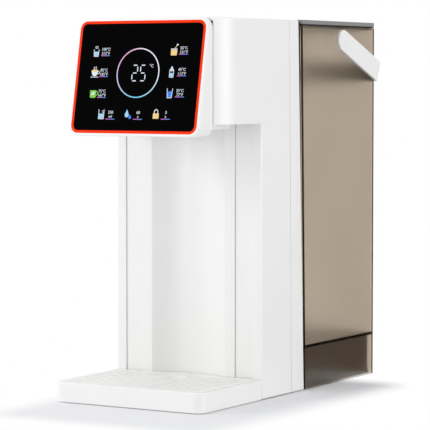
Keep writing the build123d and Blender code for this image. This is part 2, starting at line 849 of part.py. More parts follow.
# Handle: a strap bent to a U, hung on the tank's two studs
with BuildPart() as tank_handle:
    arm_inner = half + fit
    arm_outer = arm_inner + arm_thickness
    with BuildSketch(arm_plane):
        with Locations((0, -handle_width)):
            Rectangle(2 * arm_outer, handle_outer + handle_width, align=(Align.CENTER, Align.MIN))
    extrude(amount=handle_width / 2, both=True)
    bend_edges = tank_handle.edges().filter_by(Axis(arm_plane.origin, arm_plane.z_dir))
    fillet(bend_edges.group_by(Axis.Y)[-1], handle_bend)
    with BuildSketch(arm_plane) as room:
        with Locations((0, -2 * handle_width)):
            Rectangle(2 * arm_inner, handle_inner + 2 * handle_width, align=(Align.CENTER, Align.MIN))
        fillet(room.vertices().group_by(Axis.Y)[-1], inner_bend)
    extrude(amount=handle_width, both=True, mode=Mode.SUBTRACT)
    with BuildSketch(arm_side) as strap:
        Rectangle(handle_outer, handle_width, align=(Align.MIN, Align.CENTER))
        fillet(strap.vertices().group_by(Axis.X)[-1], handle_round)
        Circle(handle_width / 2)
    extrude(amount=2 * half, both=True, mode=Mode.INTERSECT)
    for side in SIDES:
        pivot = (side * arm_inner, y_pivot, z_pivot)
        rod(pivot, (side, 0, 0), stud_radius + running, stud_length, Mode.SUBTRACT)

# Tank valve: body with a cage, spring and poppet
with BuildPart() as valve_body:
    z_cage = z_floor + valve_flange_height
    rod((0, y_valve, z_sleeve), UP, valve_sleeve, z_floor - z_sleeve)
    rod((0, y_valve, z_floor), UP, valve_flange, valve_flange_height)
    rod((0, y_valve, z_sleeve), UP, valve_bore, z_floor - z_sleeve, Mode.SUBTRACT)
    rod((0, y_valve, z_floor), UP, valve_port, valve_flange_height, Mode.SUBTRACT)
    with BuildSketch(Plane.XY.offset(z_cage)):
        with Locations((0, y_valve)):
            with PolarLocations(valve_flange - 2 * cage_post, 3):
                Circle(cage_post)
    extrude(amount=cage_height)
    rod((0, y_valve, z_cage + cage_height), UP, valve_flange, cage_roof)
    rod((0, y_valve, z_cage + cage_height), UP, poppet_stem + running, cage_roof, Mode.SUBTRACT)

z_poppet = z_cage + running + poppet_lift
with BuildPart() as valve_poppet:
    rod((0, y_valve, z_poppet + poppet_seal_height), UP, poppet_radius, poppet_thickness)
    rod((0, y_valve, z_sleeve), UP, poppet_stem, z_cage + cage_height + cage_roof + fit - z_sleeve)

with BuildPart() as poppet_seal:
    rod((0, y_valve, z_poppet), UP, poppet_radius - fit, poppet_seal_height)
    rod((0, y_valve, z_poppet), UP, poppet_stem, poppet_seal_height, Mode.SUBTRACT)

with BuildPart() as valve_spring:
    z_coil = z_poppet + poppet_seal_height + poppet_thickness + valve_spring_wire + fit
    coil_height = z_cage + cage_height - valve_spring_wire - fit - z_coil
    with BuildLine():
        coil_pitch = coil_height / valve_spring_turns
        coil = Helix(coil_pitch, coil_height, valve_spring_radius, (0, y_valve, z_coil))
    with BuildSketch(Plane(origin=coil @ 0, z_dir=coil % 0)):
        Circle(valve_spring_wire)
    sweep(path=coil, is_frenet=True)

# Tank dock: plinth under the tank, with the valve seat in its top
with BuildPart() as tank_dock:
    brick((-deck_half, y_panel, z_deck), (deck_half, y_dock_rear, z_dock))
    fillet(tank_dock.edges().filter_by(Axis.Z).group_by(Axis.Y)[-1], tank_round)
    brick(
        (wall - deck_half, y_panel + wall, z_deck),
        (deck_half - wall, y_dock_rear - wall, z_dock - wall),
        Mode.SUBTRACT,
    )
    for x, y in base_screw_places:
        if y > y_panel:
            rod((x, y, z_deck), UP, boss_radius, z_dock - z_deck)
            rod((x, y, z_deck), UP, screw_radius + running, base_screw_length, Mode.SUBTRACT)
    rod((0, y_valve, z_deck), UP, seat_radius + fit, z_dock, Mode.SUBTRACT)
    hose_hole()

with BuildPart() as valve_seat:
    rod((0, y_valve, z_seat), UP, seat_radius, z_dock - z_seat)
    rod((0, y_valve, z_dock - wall - nozzle_flange), UP, seat_flange, nozzle_flange)
    rod((0, y_valve - seat_radius + wall, z_outlet), FORWARD, barb_radius, barb_length + wall)
    rod((0, y_valve, z_sleeve - seat_seal_height / 2), UP, seat_bore, seat_depth, Mode.SUBTRACT)
    rod((0, y_valve, z_sump), UP, seat_sump, seat_depth, Mode.SUBTRACT)
    rod((0, y_valve, z_outlet), FORWARD, barb_bore, 2 * seat_radius + barb_length, Mode.SUBTRACT)
    rod((0, y_valve, z_sump), UP, seat_pin, z_sleeve - fit - z_sump)

with BuildPart() as seat_seal:
    z_ring = z_sleeve - seat_seal_height / 2
    rod((0, y_valve, z_ring), UP, seat_bore - running, seat_seal_height)
    rod((0, y_valve, z_ring), UP, valve_sleeve + fit, seat_seal_height, Mode.SUBTRACT)

# Level float on its post, and the sensor below it
with BuildPart() as float_post:
    rod((post_offset, y_post, z_floor), UP, post_foot, wall)
    rod((post_offset, y_post, z_floor), UP, post_radius, post_height)
    rod((post_offset, y_post, z_floor + post_height), UP, post_foot, wall)

with BuildPart() as level_float:
    rod((post_offset, y_post, z_floor + wall + fit), UP, float_radius, float_height)
    fillet(level_float.edges(), 2 * edge_round)
    rod((post_offset, y_post, z_floor), UP, post_radius + running, post_height, Mode.SUBTRACT)

with BuildPart() as level_sensor:
    brick(
        (post_offset - sensor_width / 2, y_post - sensor_depth / 2, z_dock - wall - sensor_height),
        (post_offset + sensor_width / 2, y_post + sensor_depth / 2, z_dock - wall),
    )

# Chassis plate: carries the heater and the main board
standoff_places = [
    (x, z)
    for x in (main_board_left + standoff_inset, main_board_left + main_board_width - standoff_inset)
    for z in (main_board_low + standoff_inset, main_board_low + main_board_height - standoff_inset)
]

with BuildPart() as chassis:
    brick((-chassis_half, y_chassis, z_deck), (chassis_half, y_chassis + wall, z_chassis))
    for low, high in ((-chassis_half, heater_offset), (pump_offset + 2 * saddle_half, chassis_half)):
        brick((low, y_chassis - chassis_foot, z_deck), (high, y_chassis, z_deck + wall))
    rod((pump_offset, y_chassis - wall, z_pump), BACK, hose_outer + hose_hole_play, 3 * wall, Mode.SUBTRACT)
    for x, z in standoff_places:
        rod((x, y_chassis, z), FORWARD, standoff_radius, standoff)
        hole = board_screw_radius + running
        rod((x, y_chassis - standoff, z), BACK, hole, board_screw_length, Mode.SUBTRACT)

# Pump: motor and volute on one axis, with the impeller between them
y_cover = y_chassis - wall
y_volute = y_cover - pump_cover_depth - chamber_depth - pump_plate
y_motor = y_volute - motor_length
y_jet = y_volute + (pump_plate + chamber_depth) / 2

with BuildPart() as pump_motor:
    rod((pump_offset, y_motor, z_pump), BACK, motor_radius, motor_length)
    fillet(pump_motor.edges().group_by(Axis.Y)[0], edge_round)
    rod((pump_offset, y_volute, z_pump), FORWARD, shaft_radius + running, barb_length, Mode.SUBTRACT)

with BuildPart() as pump_volute:
    rod((pump_offset, y_volute, z_pump), BACK, pump_radius, pump_plate + chamber_depth)
    rod((pump_offset + outlet_offset, y_jet, z_pump), UP, barb_radius, outlet_height)
    rod((pump_offset, y_volute + pump_plate, z_pump), BACK, chamber_radius, chamber_depth, Mode.SUBTRACT)
    rod((pump_offset, y_volute, z_pump), BACK, shaft_radius + running, pump_plate, Mode.SUBTRACT)
    rod((pump_offset + outlet_offset, y_jet, z_pump), UP, barb_bore, outlet_height, Mode.SUBTRACT)

with BuildPart() as pump_cover:
    rod((pump_offset, y_cover - pump_cover_depth, z_pump), BACK, pump_radius, pump_cover_depth)
    rod((pump_offset, y_cover, z_pump), BACK, barb_radius, barb_length + wall)
    rod((pump_offset, y_volute, z_pump), BACK, barb_bore, 3 * barb_length, Mode.SUBTRACT)

with BuildPart() as pump_impeller:
    y_disc = y_volute + pump_plate + impeller_gap
    vane_depth = chamber_depth - 2 * impeller_gap
    vane_length = impeller_radius - vane_thickness
    rod((pump_offset, y_disc, z_pump), BACK, impeller_radius, impeller_disc)
    with BuildSketch(Plane.XZ.offset(-y_disc)):
        with Locations((pump_offset, z_pump)):
            with PolarLocations(vane_length / 2, vane_count):
                Rectangle(vane_length, vane_thickness)
    extrude(amount=-vane_depth)
    rod((pump_offset, y_disc + vane_depth, z_pump), FORWARD, shaft_radius, vane_depth + barb_length)

with BuildPart() as pump_saddle:
    brick(
        (pump_offset - saddle_half, y_motor + saddle_inset, z_deck),
        (pump_offset + saddle_half, y_volute - saddle_inset, z_pump - saddle_drop),
    )
    rod((pump_offset, y_motor, z_pump), BACK, motor_radius + running, motor_length, Mode.SUBTRACT)

# Heater: upright tube with end caps, a U element, clamps and thermal cutouts
heater_axis = (heater_offset, y_heater)

with BuildPart() as heater_tube:
    rod((*heater_axis, heater_foot), UP, heater_radius, heater_length)
    rod((*heater_axis, heater_foot), UP, heater_radius - heater_wall, heater_length, Mode.SUBTRACT)

with BuildPart() as heater_caps:
    for end, way in (((*heater_axis, heater_foot), -1), ((*heater_axis, z_heater), 1)):
        along = (0, 0, way)
        inside = (0, 0, -way)
        rod(end, along, cap_radius, cap_plate)
        rod(end, inside, cap_radius, cap_overlap)
        rod(end, inside, heater_radius + running, cap_overlap, Mode.SUBTRACT)
        rod(end, along, barb_radius, cap_plate + barb_length)
        rod(end, along, barb_bore, cap_plate + barb_length, Mode.SUBTRACT)
    for side in SIDES:
        leg = (heater_offset, y_heater + side * element_half, heater_foot)
        rod(leg, DOWN, element_radius + running, cap_plate, Mode.SUBTRACT)

with BuildPart() as heating_element:
    z_tail = heater_foot - cap_plate - element_tail
    z_bend = z_heater - heater_wall - element_half - 2 * element_radius
    with BuildLine(Plane.YZ.offset(heater_offset)) as element_route:
        leg_low = Line((y_heater - element_half, z_tail), (y_heater - element_half, z_bend))
        crown = (y_heater, z_bend + element_half)
        ThreePointArc(leg_low @ 1, crown, (y_heater + element_half, z_bend))
        Line((y_heater + element_half, z_bend), (y_heater + element_half, z_tail))
    with BuildSketch(Plane(origin=element_route.line @ 0, z_dir=UP)):
        Circle(element_radius)
    sweep(path=element_route.line)

with BuildPart() as heater_clamps:
    for z in (heater_foot + clamp_inset, z_heater - clamp_inset - clamp_height):
        brick(
            (heater_offset - clamp_half, y_heater - clamp_lap, z),
            (heater_offset + clamp_half, y_chassis, z + clamp_height),
        )
    rod((*heater_axis, heater_foot), UP, heater_radius + running, heater_length, Mode.SUBTRACT)

with BuildPart() as thermal_cutouts:
    z_middle = heater_foot + heater_length / 2
    for z in (z_middle - cutout_pitch / 2, z_middle + cutout_pitch / 2):
        y_near = y_heater - heater_radius
        brick(
            (heater_offset - cutout_width / 2, y_near - cutout_depth, z - cutout_height / 2),
            (heater_offset + cutout_width / 2, y_near + clamp_lap, z + cutout_height / 2),
        )
    rod((*heater_axis, heater_foot), UP, heater_radius + running, heater_length, Mode.SUBTRACT)

# Hoses between the valve seat, the pump, the heater and the nozzle
with BuildPart() as inlet_hose:
    tube(inlet_route, inlet_bend, hose_outer, hose_inner)

with BuildPart() as feed_hose:
    z_jet = z_pump + outlet_height
    z_turn = (z_jet + heater_foot - cap_plate - barb_length) / 2
    tube(
        (
            (pump_offset + outlet_offset, y_jet, z_jet - barb_length + fit),
            (pump_offset + outlet_offset, y_jet, z_turn),
            (*heater_axis, z_turn),
            (*heater_axis, heater_foot - cap_plate - fit),
        ),
        feed_bend,
        hose_outer,
        hose_inner,
    )

with BuildPart() as outlet_hose:
    tube(
        (
            (*heater_axis, z_heater + cap_plate + fit),
            (*heater_axis, z_hose),
            (0, y_nozzle, z_hose),
            (0, y_nozzle, z_cover + nozzle_flange + fit),
        ),
        outlet_bend,
        hose_outer,
        hose_inner,
    )

# Main board on its standoffs, with what stands on it
y_board = y_chassis - standoff - board_thickness
board_middle = main_board_left + main_board_width / 2

with BuildPart() as main_board:
    brick(
        (main_board_left, y_board, main_board_low),
        (main_board_left + main_board_width, y_chassis - standoff, main_board_low + main_board_height),
    )
    for x, z in standoff_places:
        rod((x, y_board, z), BACK, board_screw_radius + fit, board_thickness, Mode.SUBTRACT)

with BuildPart() as board_screws:
    for x, z in standoff_places:
        rod((x, y_board, z), FORWARD, board_screw_head, screw_head_height)
        rod((x, y_board, z), BACK, board_screw_radius, board_thickness + board_screw_length - fit)


def on_board(x, z, size):
    """Add a box of the given size on the front of the main board; x and z are its middle."""
    brick((x - size[0] / 2, y_board - size[1], z - size[2] / 2), (x + size[0] / 2, y_board, z + size[2] / 2))


with BuildPart() as board_relays:
    for row in range(2):
        z = main_board_low + 2 * standoff_inset + (row + 0.5) * board_bay
        on_board(board_middle - relay_size[0] / 2, z, relay_size)
    fillet(board_relays.edges().filter_by(Axis.Y), edge_round / 2)

with BuildPart() as board_capacitors:
    for row in range(3):
        z = main_board_low + 2 * standoff_inset + (row + 0.5) * 2.4 * capacitor_radius
        can = (board_middle + 2 * capacitor_radius + wall, y_board, z)
        rod(can, FORWARD, capacitor_radius, capacitor_height)
    fillet(board_capacitors.edges().group_by(Axis.Y)[0], edge_round / 2)

z_upper_row = main_board_low + main_board_height - 2 * standoff_inset
with BuildPart() as board_transformer:
    on_board(board_middle - transformer_size[0] / 4, z_upper_row - transformer_size[2] / 2, transformer_size)
    chamfer(board_transformer.edges().filter_by(Axis.Y), edge_round)

with BuildPart() as heat_sink:
    sink_middle = board_middle + transformer_size[0] / 4 + sink_size[0] / 2 + wall
    sink_low = z_upper_row - sink_size[2]
    on_board(sink_middle, z_upper_row - sink_size[2] / 2, (sink_size[0], sink_web, sink_size[2]))
    fin_pitch = (sink_size[0] - sink_fin) / (sink_fin_count - 1)
    for index in range(sink_fin_count):
        x = sink_middle + (index - (sink_fin_count - 1) / 2) * fin_pitch
        on_board(x, z_upper_row - sink_size[2] / 2, (sink_fin, sink_size[1], sink_size[2]))

# Cable from the main board to the display board
with BuildPart() as head_cable:
    x_cable = window_width / 2 - 2 * hose_outer
    z_cable = z_hose + hose_outer + 3 * cable_radius
    z_entry = z_window + window_height / 2
    board_back = glass_thickness + spring_height + board_thickness
    y_entry = y_block - head_nose + (z_entry - z_head) * tan(tilt) + board_back / cos(tilt) + 2 * fit
    z_plug = main_board_low + main_board_height - 2 * cable_radius
    tube(
        (
            (board_middle, y_board - cable_radius - fit, z_plug),
            (board_middle, y_board - cable_radius - fit, z_cable),
            (x_cable, y_nozzle - 2 * nozzle_radius, z_cable),
            (x_cable, y_block + 3 * cable_bend / 2, z_entry),
            (x_cable, y_entry, z_entry),
        ),
        cable_bend,
        cable_radius,
        0,
    )

# Cord gland in the left side, behind the seam
with BuildPart() as cord_gland:
    rod((-half - gland_flange_height, y_gland, gland_rise), RIGHT, gland_flange, gland_flange_height)
    fillet(cord_gland.edges().group_by(Axis.X)[0], gland_flange_height / 2)
    rod((-half, y_gland, gland_rise), RIGHT, gland_radius, gland_length)
    rod((-half - wall, y_gland, gland_rise), RIGHT, gland_bore, gland_length + 2 * wall, Mode.SUBTRACT)

pieces = {
    "base_plate": base_plate,
    "rubber_feet": rubber_feet,
    "base_screws": base_screws,
    "outer_shell": outer_shell,
    "front_frame": front_frame,
    "niche_panel": niche_panel,
    "rear_frame": rear_frame,
    "rear_top": rear_top,
    "rear_panel": rear_panel,
    "underside_cover": underside_cover,
    "nozzle": nozzle,
    "head_housing": head_housing,
    "head_gasket": head_gasket,
    "head_screws": head_screws,
    "bezel_ring": bezel_ring,
    "touch_glass": touch_glass,
    "display_board": display_board,
    "digit_module": digit_module,
    "touch_springs": touch_springs,
    "drip_tray": drip_tray,
    "tray_feet": tray_feet,
    "tray_grille": tray_grille,
    "tank": tank,
    "tank_lid": tank_lid,
    "lid_seal": lid_seal,
    "tank_handle": tank_handle,
    "valve_body": valve_body,
    "valve_poppet": valve_poppet,
    "poppet_seal": poppet_seal,
    "valve_spring": valve_spring,
    "tank_dock": tank_dock,
    "valve_seat": valve_seat,
    "seat_seal": seat_seal,
    "float_post": float_post,
    "level_float": level_float,
    "level_sensor": level_sensor,
    "chassis": chassis,
    "pump_motor": pump_motor,
    "pump_volute": pump_volute,
    "pump_cover": pump_cover,
    "pump_impeller": pump_impeller,
    "pump_saddle": pump_saddle,
    "heater_tube": heater_tube,
    "heater_caps": heater_caps,
    "heating_element": heating_element,
    "heater_clamps": heater_clamps,
    "thermal_cutouts": thermal_cutouts,
    "inlet_hose": inlet_hose,
    "feed_hose": feed_hose,
    "outlet_hose": outlet_hose,
    "main_board": main_board,
    "board_screws": board_screws,
    "board_relays": board_relays,
    "board_capacitors": board_capacitors,
    "board_transformer": board_transformer,
    "heat_sink": heat_sink,
    "head_cable": head_cable,
    "cord_gland": cord_gland,
}

for name, piece in pieces.items():
    piece.part.label = name
    export_step(piece.part, f"parts/{name}.step")

print("overall depth", round(overall_depth, 2), "front", round(y_front, 3))
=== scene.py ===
import json
import logging
import math
from dataclasses import dataclass
from enum import Enum
from typing import Any, Callable, Sequence

import bmesh
import bpy
from mathutils import Matrix, Vector

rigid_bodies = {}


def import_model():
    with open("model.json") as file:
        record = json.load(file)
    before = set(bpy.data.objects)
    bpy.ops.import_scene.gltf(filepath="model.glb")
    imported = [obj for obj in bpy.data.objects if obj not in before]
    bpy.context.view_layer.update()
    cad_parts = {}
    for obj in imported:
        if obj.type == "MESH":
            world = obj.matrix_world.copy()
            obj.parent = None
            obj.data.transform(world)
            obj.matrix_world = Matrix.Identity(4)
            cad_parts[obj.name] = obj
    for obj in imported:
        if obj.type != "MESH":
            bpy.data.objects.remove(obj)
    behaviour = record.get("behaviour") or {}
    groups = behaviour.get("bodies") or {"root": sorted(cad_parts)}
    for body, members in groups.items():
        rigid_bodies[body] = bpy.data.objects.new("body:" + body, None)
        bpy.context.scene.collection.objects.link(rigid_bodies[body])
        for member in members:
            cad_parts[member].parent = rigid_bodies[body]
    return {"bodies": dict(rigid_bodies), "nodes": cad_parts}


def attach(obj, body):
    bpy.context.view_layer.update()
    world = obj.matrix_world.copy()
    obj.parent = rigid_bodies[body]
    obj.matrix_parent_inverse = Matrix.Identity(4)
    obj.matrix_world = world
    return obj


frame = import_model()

LOG = logging.getLogger("hot_water_dispenser")
MM = 0.001
Point = tuple[float, float]
Span = tuple[float, float]
Triple = tuple[float, float, float]
WHITE = (1.0, 1.0, 1.0, 1.0)


def linear(hex_colour: str) -> tuple[float, float, float, float]:
    """Turn an sRGB hex colour into linear RGBA.

    Args:
        hex_colour: Six hex digits, with or without a leading #.

    Returns:
        Linear red, green, blue and an alpha of 1.
    """
    digits = hex_colour.lstrip("#")
    parts = [int(digits[i : i + 2], 16) / 255 for i in (0, 2, 4)]
    red, green, blue = (p / 12.92 if p <= 0.04045 else ((p + 0.055) / 1.055) ** 2.4 for p in parts)
    return red, green, blue, 1.0


def add_node(
    tree: bpy.types.NodeTree, kind: str, inputs: dict[Any, Any] | None = None, **settings: Any
) -> bpy.types.Node:
    """Add one node with its settings, and fill or link its inputs.

    Args:
        tree: The node tree that gets the node.
        kind: The node's Blender type name.
        inputs: Input name or index to a value, or to the output socket that feeds it.
        **settings: Properties of the node itself.

    Returns:
        The new node.
    """
    node = tree.nodes.new(kind)
    for name, value in settings.items():
        setattr(node, name, value)
    for socket, value in (inputs or {}).items():
        if isinstance(value, bpy.types.NodeSocket):
            tree.links.new(value, node.inputs[socket])
        else:
            node.inputs[socket].default_value = value
    return node


def per_metre(size_mm: float) -> float:
    """Give the texture scale whose features are size_mm across."""
    return 1000 / size_mm


@dataclass(frozen=True)
class Finish:
    """A surface finish that makes its Blender material once and hands out the same one afterwards."""

    name: str

    def material(self) -> bpy.types.Material:
        """Make the material, or return it if it exists.

        Returns:
            The material of this finish.
        """
        known = bpy.data.materials.get(self.name)
        if known:
            return known
        made = bpy.data.materials.new(self.name)
        made.use_nodes = True
        made.node_tree.nodes.clear()
        self.shade(made.node_tree)
        return made

    def shade(self, tree: bpy.types.NodeTree) -> None:
        """Fill the material's node tree."""
        raise NotImplementedError


@dataclass(frozen=True)
class MouldedPlastic(Finish):
    """Injection-moulded plastic: an even colour with faint flow clouds, and a fine grain on its gloss."""

    colour: str
    cloud: str
    roughness: Span
    grain_mm: float
    grain_height_mm: float
    cloud_mm: float = 45.0
    ior: float = 1.53
    specular: float = 0.5
    grain_span: Span = (0.3, 0.7)

    def shade(self, tree: bpy.types.NodeTree) -> None:
        """Mix two close tones by the clouds, and let the grain work on roughness and bump."""
        place = add_node(tree, "ShaderNodeTexCoord").outputs["Object"]
        clouds = add_node(
            tree, "ShaderNodeTexNoise", {"Vector": place, "Scale": per_metre(self.cloud_mm), "Detail": 3.0}
        ).outputs["Fac"]
        grain = add_node(
            tree, "ShaderNodeTexNoise", {"Vector": place, "Scale": per_metre(self.grain_mm), "Detail": 2.0}
        ).outputs["Fac"]
        tone = add_node(
            tree, "ShaderNodeMix",
            {0: clouds, 6: linear(self.colour), 7: linear(self.cloud)},
            data_type="RGBA",
        ).outputs[2]
        gloss = add_node(
            tree, "ShaderNodeMapRange",
            {
                "Value": grain, "From Min": self.grain_span[0], "From Max": self.grain_span[1],
                "To Min": self.roughness[0], "To Max": self.roughness[1],
            },
        ).outputs["Result"]
        relief = add_node(
            tree, "ShaderNodeBump", {"Height": grain, "Strength": 1.0, "Distance": self.grain_height_mm * MM}
        ).outputs["Normal"]
        skin = add_node(
            tree, "ShaderNodeBsdfPrincipled",
            {
                "Base Color": tone, "Roughness": gloss, "IOR": self.ior, "Specular IOR Level": self.specular,
                "Normal": relief,
            },
        )
        add_node(tree, "ShaderNodeOutputMaterial", {"Surface": skin.outputs["BSDF"]})


@dataclass(frozen=True)
class SmokedTint(Finish):
    """Clear moulded acrylic with a smoke-brown dye: darker where the eye looks through more wall."""

    dye: Triple
    dye_density: float
    roughness: Span
    haze_mm: float = 70.0
    haze_span: Span = (0.35, 0.7)
    ior: float = 1.49

    def shade(self, tree: bpy.types.NodeTree) -> None:
        """Let light through a clear skin, and take it away in the wall by its length."""
        place = add_node(tree, "ShaderNodeTexCoord").outputs["Object"]
        haze = add_node(
            tree, "ShaderNodeTexNoise", {"Vector": place, "Scale": per_metre(self.haze_mm), "Detail": 0.0}
        ).outputs["Fac"]
        gloss = add_node(
            tree, "ShaderNodeMapRange",
            {
                "Value": haze, "From Min": self.haze_span[0], "From Max": self.haze_span[1],
                "To Min": self.roughness[0], "To Max": self.roughness[1],
            },
        ).outputs["Result"]
        skin = add_node(
            tree, "ShaderNodeBsdfPrincipled",
            {
                "Base Color": WHITE, "Roughness": gloss, "IOR": self.ior, "Transmission Weight": 1.0,
            },
        )
        dyed = add_node(
            tree, "ShaderNodeVolumeAbsorption", {"Color": (*self.dye, 1.0), "Density": self.dye_density}
        )
        add_node(
            tree, "ShaderNodeOutputMaterial",
            {"Surface": skin.outputs["BSDF"], "Volume": dyed.outputs["Volume"]},
        )


@dataclass(frozen=True)
class CoverGlass(Finish):
    """Tempered cover glass, printed black from behind, with the faint smears of fingers on its gloss."""

    colour: str
    roughness: Span
    smear_mm: float = 14.0
    smear_stretch: Triple = (0.4, 1.0, 1.0)
    smear_span: Span = (0.4, 0.75)
    specular: float = 0.015
    ior: float = 1.5

    def shade(self, tree: bpy.types.NodeTree) -> None:
        """Draw the smears out sideways and let them roughen the gloss a little."""
        place = add_node(tree, "ShaderNodeTexCoord").outputs["Object"]
        drawn = add_node(
            tree, "ShaderNodeMapping", {"Vector": place, "Scale": self.smear_stretch}
        ).outputs["Vector"]
        smear = add_node(
            tree, "ShaderNodeTexNoise", {"Vector": drawn, "Scale": per_metre(self.smear_mm), "Detail": 5.0}
        ).outputs["Fac"]
        gloss = add_node(
            tree, "ShaderNodeMapRange",
            {
                "Value": smear, "From Min": self.smear_span[0], "From Max": self.smear_span[1],
                "To Min": self.roughness[0], "To Max": self.roughness[1],
            },
        ).outputs["Result"]
        skin = add_node(
            tree, "ShaderNodeBsdfPrincipled",
            {
                "Base Color": linear(self.colour), "Roughness": gloss, "IOR": self.ior,
                "Specular IOR Level": self.specular,
            },
        )
        add_node(tree, "ShaderNodeOutputMaterial", {"Surface": skin.outputs["BSDF"]})


# Unlit body of the panel's print: dark and matt, so that only the light behind it counts.
INK_BODY: dict[str, Any] = {
    "Base Color": (0.02, 0.02, 0.02, 1.0),
    "Roughness": 0.4,
    "Specular IOR Level": 0.1,
}


@dataclass(frozen=True)
class LitInk(Finish):
    """Translucent screen print with light behind it: slightly uneven, brighter where the lamp is near."""

    colour: str
    deep: str
    glow: float
    lamp_mm: float = 3.0

    def shade(self, tree: bpy.types.NodeTree) -> None:
        """Let the light vary a little from lamp to lamp."""
        place = add_node(tree, "ShaderNodeTexCoord").outputs["Object"]
        lamp = add_node(
            tree, "ShaderNodeTexNoise", {"Vector": place, "Scale": per_metre(self.lamp_mm), "Detail": 1.0}
        ).outputs["Fac"]
        tone = add_node(
            tree, "ShaderNodeMix", {0: lamp, 6: linear(self.colour), 7: linear(self.deep)}, data_type="RGBA"
        ).outputs[2]
        skin = add_node(
            tree, "ShaderNodeBsdfPrincipled",
            {**INK_BODY, "Emission Color": tone, "Emission Strength": self.glow},
        )
        add_node(tree, "ShaderNodeOutputMaterial", {"Surface": skin.outputs["BSDF"]})


@dataclass(frozen=True)
class FadedInk(Finish):
    """The same lit print, but its colour runs along the line from one end to the other."""

    stops: tuple[tuple[float, str], ...]
    glow: float

    def shade(self, tree: bpy.types.NodeTree) -> None:
        """Read how far along its line a point lies, and give it that stop's colour."""
        along = add_node(tree, "ShaderNodeAttribute", attribute_name="along").outputs["Fac"]
        ramp = add_node(tree, "ShaderNodeValToRGB", {"Fac": along})
        marks = ramp.color_ramp.elements
        while len(marks) < len(self.stops):
            marks.new(0.5)
        for mark, (position, colour) in zip(marks, self.stops):
            mark.position = position
            mark.color = linear(colour)
        skin = add_node(
            tree, "ShaderNodeBsdfPrincipled",
            {**INK_BODY, "Emission Color": ramp.outputs["Color"], "Emission Strength": self.glow},
        )
        add_node(tree, "ShaderNodeOutputMaterial", {"Surface": skin.outputs["BSDF"]})


@dataclass(frozen=True)
class BrushedMetal(Finish):
    """Drawn or brushed steel and aluminium: bright, with short scratches that run one way."""

    colour: str
    roughness: Span
    scratch_mm: float
    stretch: Triple = (1.0, 1.0, 0.06)
    scratch_strength: float = 0.4
    scratch_depth_mm: float = 0.02

    def shade(self, tree: bpy.types.NodeTree) -> None:
        """Stretch fine noise into scratches for roughness and bump."""
        place = add_node(tree, "ShaderNodeTexCoord").outputs["Object"]
        drawn = add_node(
            tree, "ShaderNodeMapping", {"Vector": place, "Scale": self.stretch}
        ).outputs["Vector"]
        scratch = add_node(
            tree, "ShaderNodeTexNoise", {"Vector": drawn, "Scale": per_metre(self.scratch_mm), "Detail": 3.0}
        ).outputs["Fac"]
        gloss = add_node(
            tree, "ShaderNodeMapRange",
            {"Value": scratch, "To Min": self.roughness[0], "To Max": self.roughness[1]},
        ).outputs["Result"]
        relief = add_node(
            tree, "ShaderNodeBump",
            {
                "Height": scratch, "Strength": self.scratch_strength,
                "Distance": self.scratch_depth_mm * MM,
            },
        ).outputs["Normal"]
        skin = add_node(
            tree, "ShaderNodeBsdfPrincipled",
            {"Base Color": linear(self.colour), "Metallic": 1.0, "Roughness": gloss, "Normal": relief},
        )
        add_node(tree, "ShaderNodeOutputMaterial", {"Surface": skin.outputs["BSDF"]})


@dataclass(frozen=True)
class ZincSheet(Finish):
    """Hot-dip galvanised sheet: a dull metal whose zinc grains catch the light one by one."""

    colour: str
    dark: str
    spangle_mm: float
    roughness: Span = (0.35, 0.6)
    metallic: float = 0.9

    def shade(self, tree: bpy.types.NodeTree) -> None:
        """Give each zinc grain its own tone and gloss."""
        place = add_node(tree, "ShaderNodeTexCoord").outputs["Object"]
        grain = add_node(
            tree, "ShaderNodeTexVoronoi", {"Vector": place, "Scale": per_metre(self.spangle_mm)}
        ).outputs["Color"]
        shine = add_node(tree, "ShaderNodeSeparateColor", {"Color": grain}).outputs["Red"]
        tone = add_node(
            tree, "ShaderNodeMix", {0: shine, 6: linear(self.colour), 7: linear(self.dark)}, data_type="RGBA"
        ).outputs[2]
        gloss = add_node(
            tree, "ShaderNodeMapRange",
            {"Value": shine, "To Min": self.roughness[0], "To Max": self.roughness[1]},
        ).outputs["Result"]
        skin = add_node(
            tree, "ShaderNodeBsdfPrincipled",
            {"Base Color": tone, "Metallic": self.metallic, "Roughness": gloss},
        )
        add_node(tree, "ShaderNodeOutputMaterial", {"Surface": skin.outputs["BSDF"]})


@dataclass(frozen=True)
class CircuitBoard(Finish):
    """Glass-fibre board under solder mask: the copper tracks show as paler lines in the lacquer."""

    mask: str
    track: str
    field_mm: float
    field: Point = (1.1, 0.35)
    track_width: float = 0.06
    roughness: float = 0.35
    lacquer: float = 0.4

    def shade(self, tree: bpy.types.NodeTree) -> None:
        """Draw tracks in two directions under a glossy mask."""
        place = add_node(tree, "ShaderNodeTexCoord").outputs["Object"]
        upright = add_node(
            tree, "ShaderNodeMapping", {"Vector": place, "Rotation": (math.pi / 2, 0.0, 0.0)}
        ).outputs["Vector"]
        tracks = add_node(
            tree, "ShaderNodeTexBrick",
            {
                "Vector": upright,
                "Color1": linear(self.mask), "Color2": linear(self.mask), "Mortar": linear(self.track),
                "Scale": per_metre(self.field_mm), "Mortar Size": self.track_width,
                "Brick Width": self.field[0], "Row Height": self.field[1],
            },
        ).outputs["Color"]
        skin = add_node(
            tree, "ShaderNodeBsdfPrincipled",
            {"Base Color": tracks, "Roughness": self.roughness, "Coat Weight": self.lacquer},
        )
        add_node(tree, "ShaderNodeOutputMaterial", {"Surface": skin.outputs["BSDF"]})


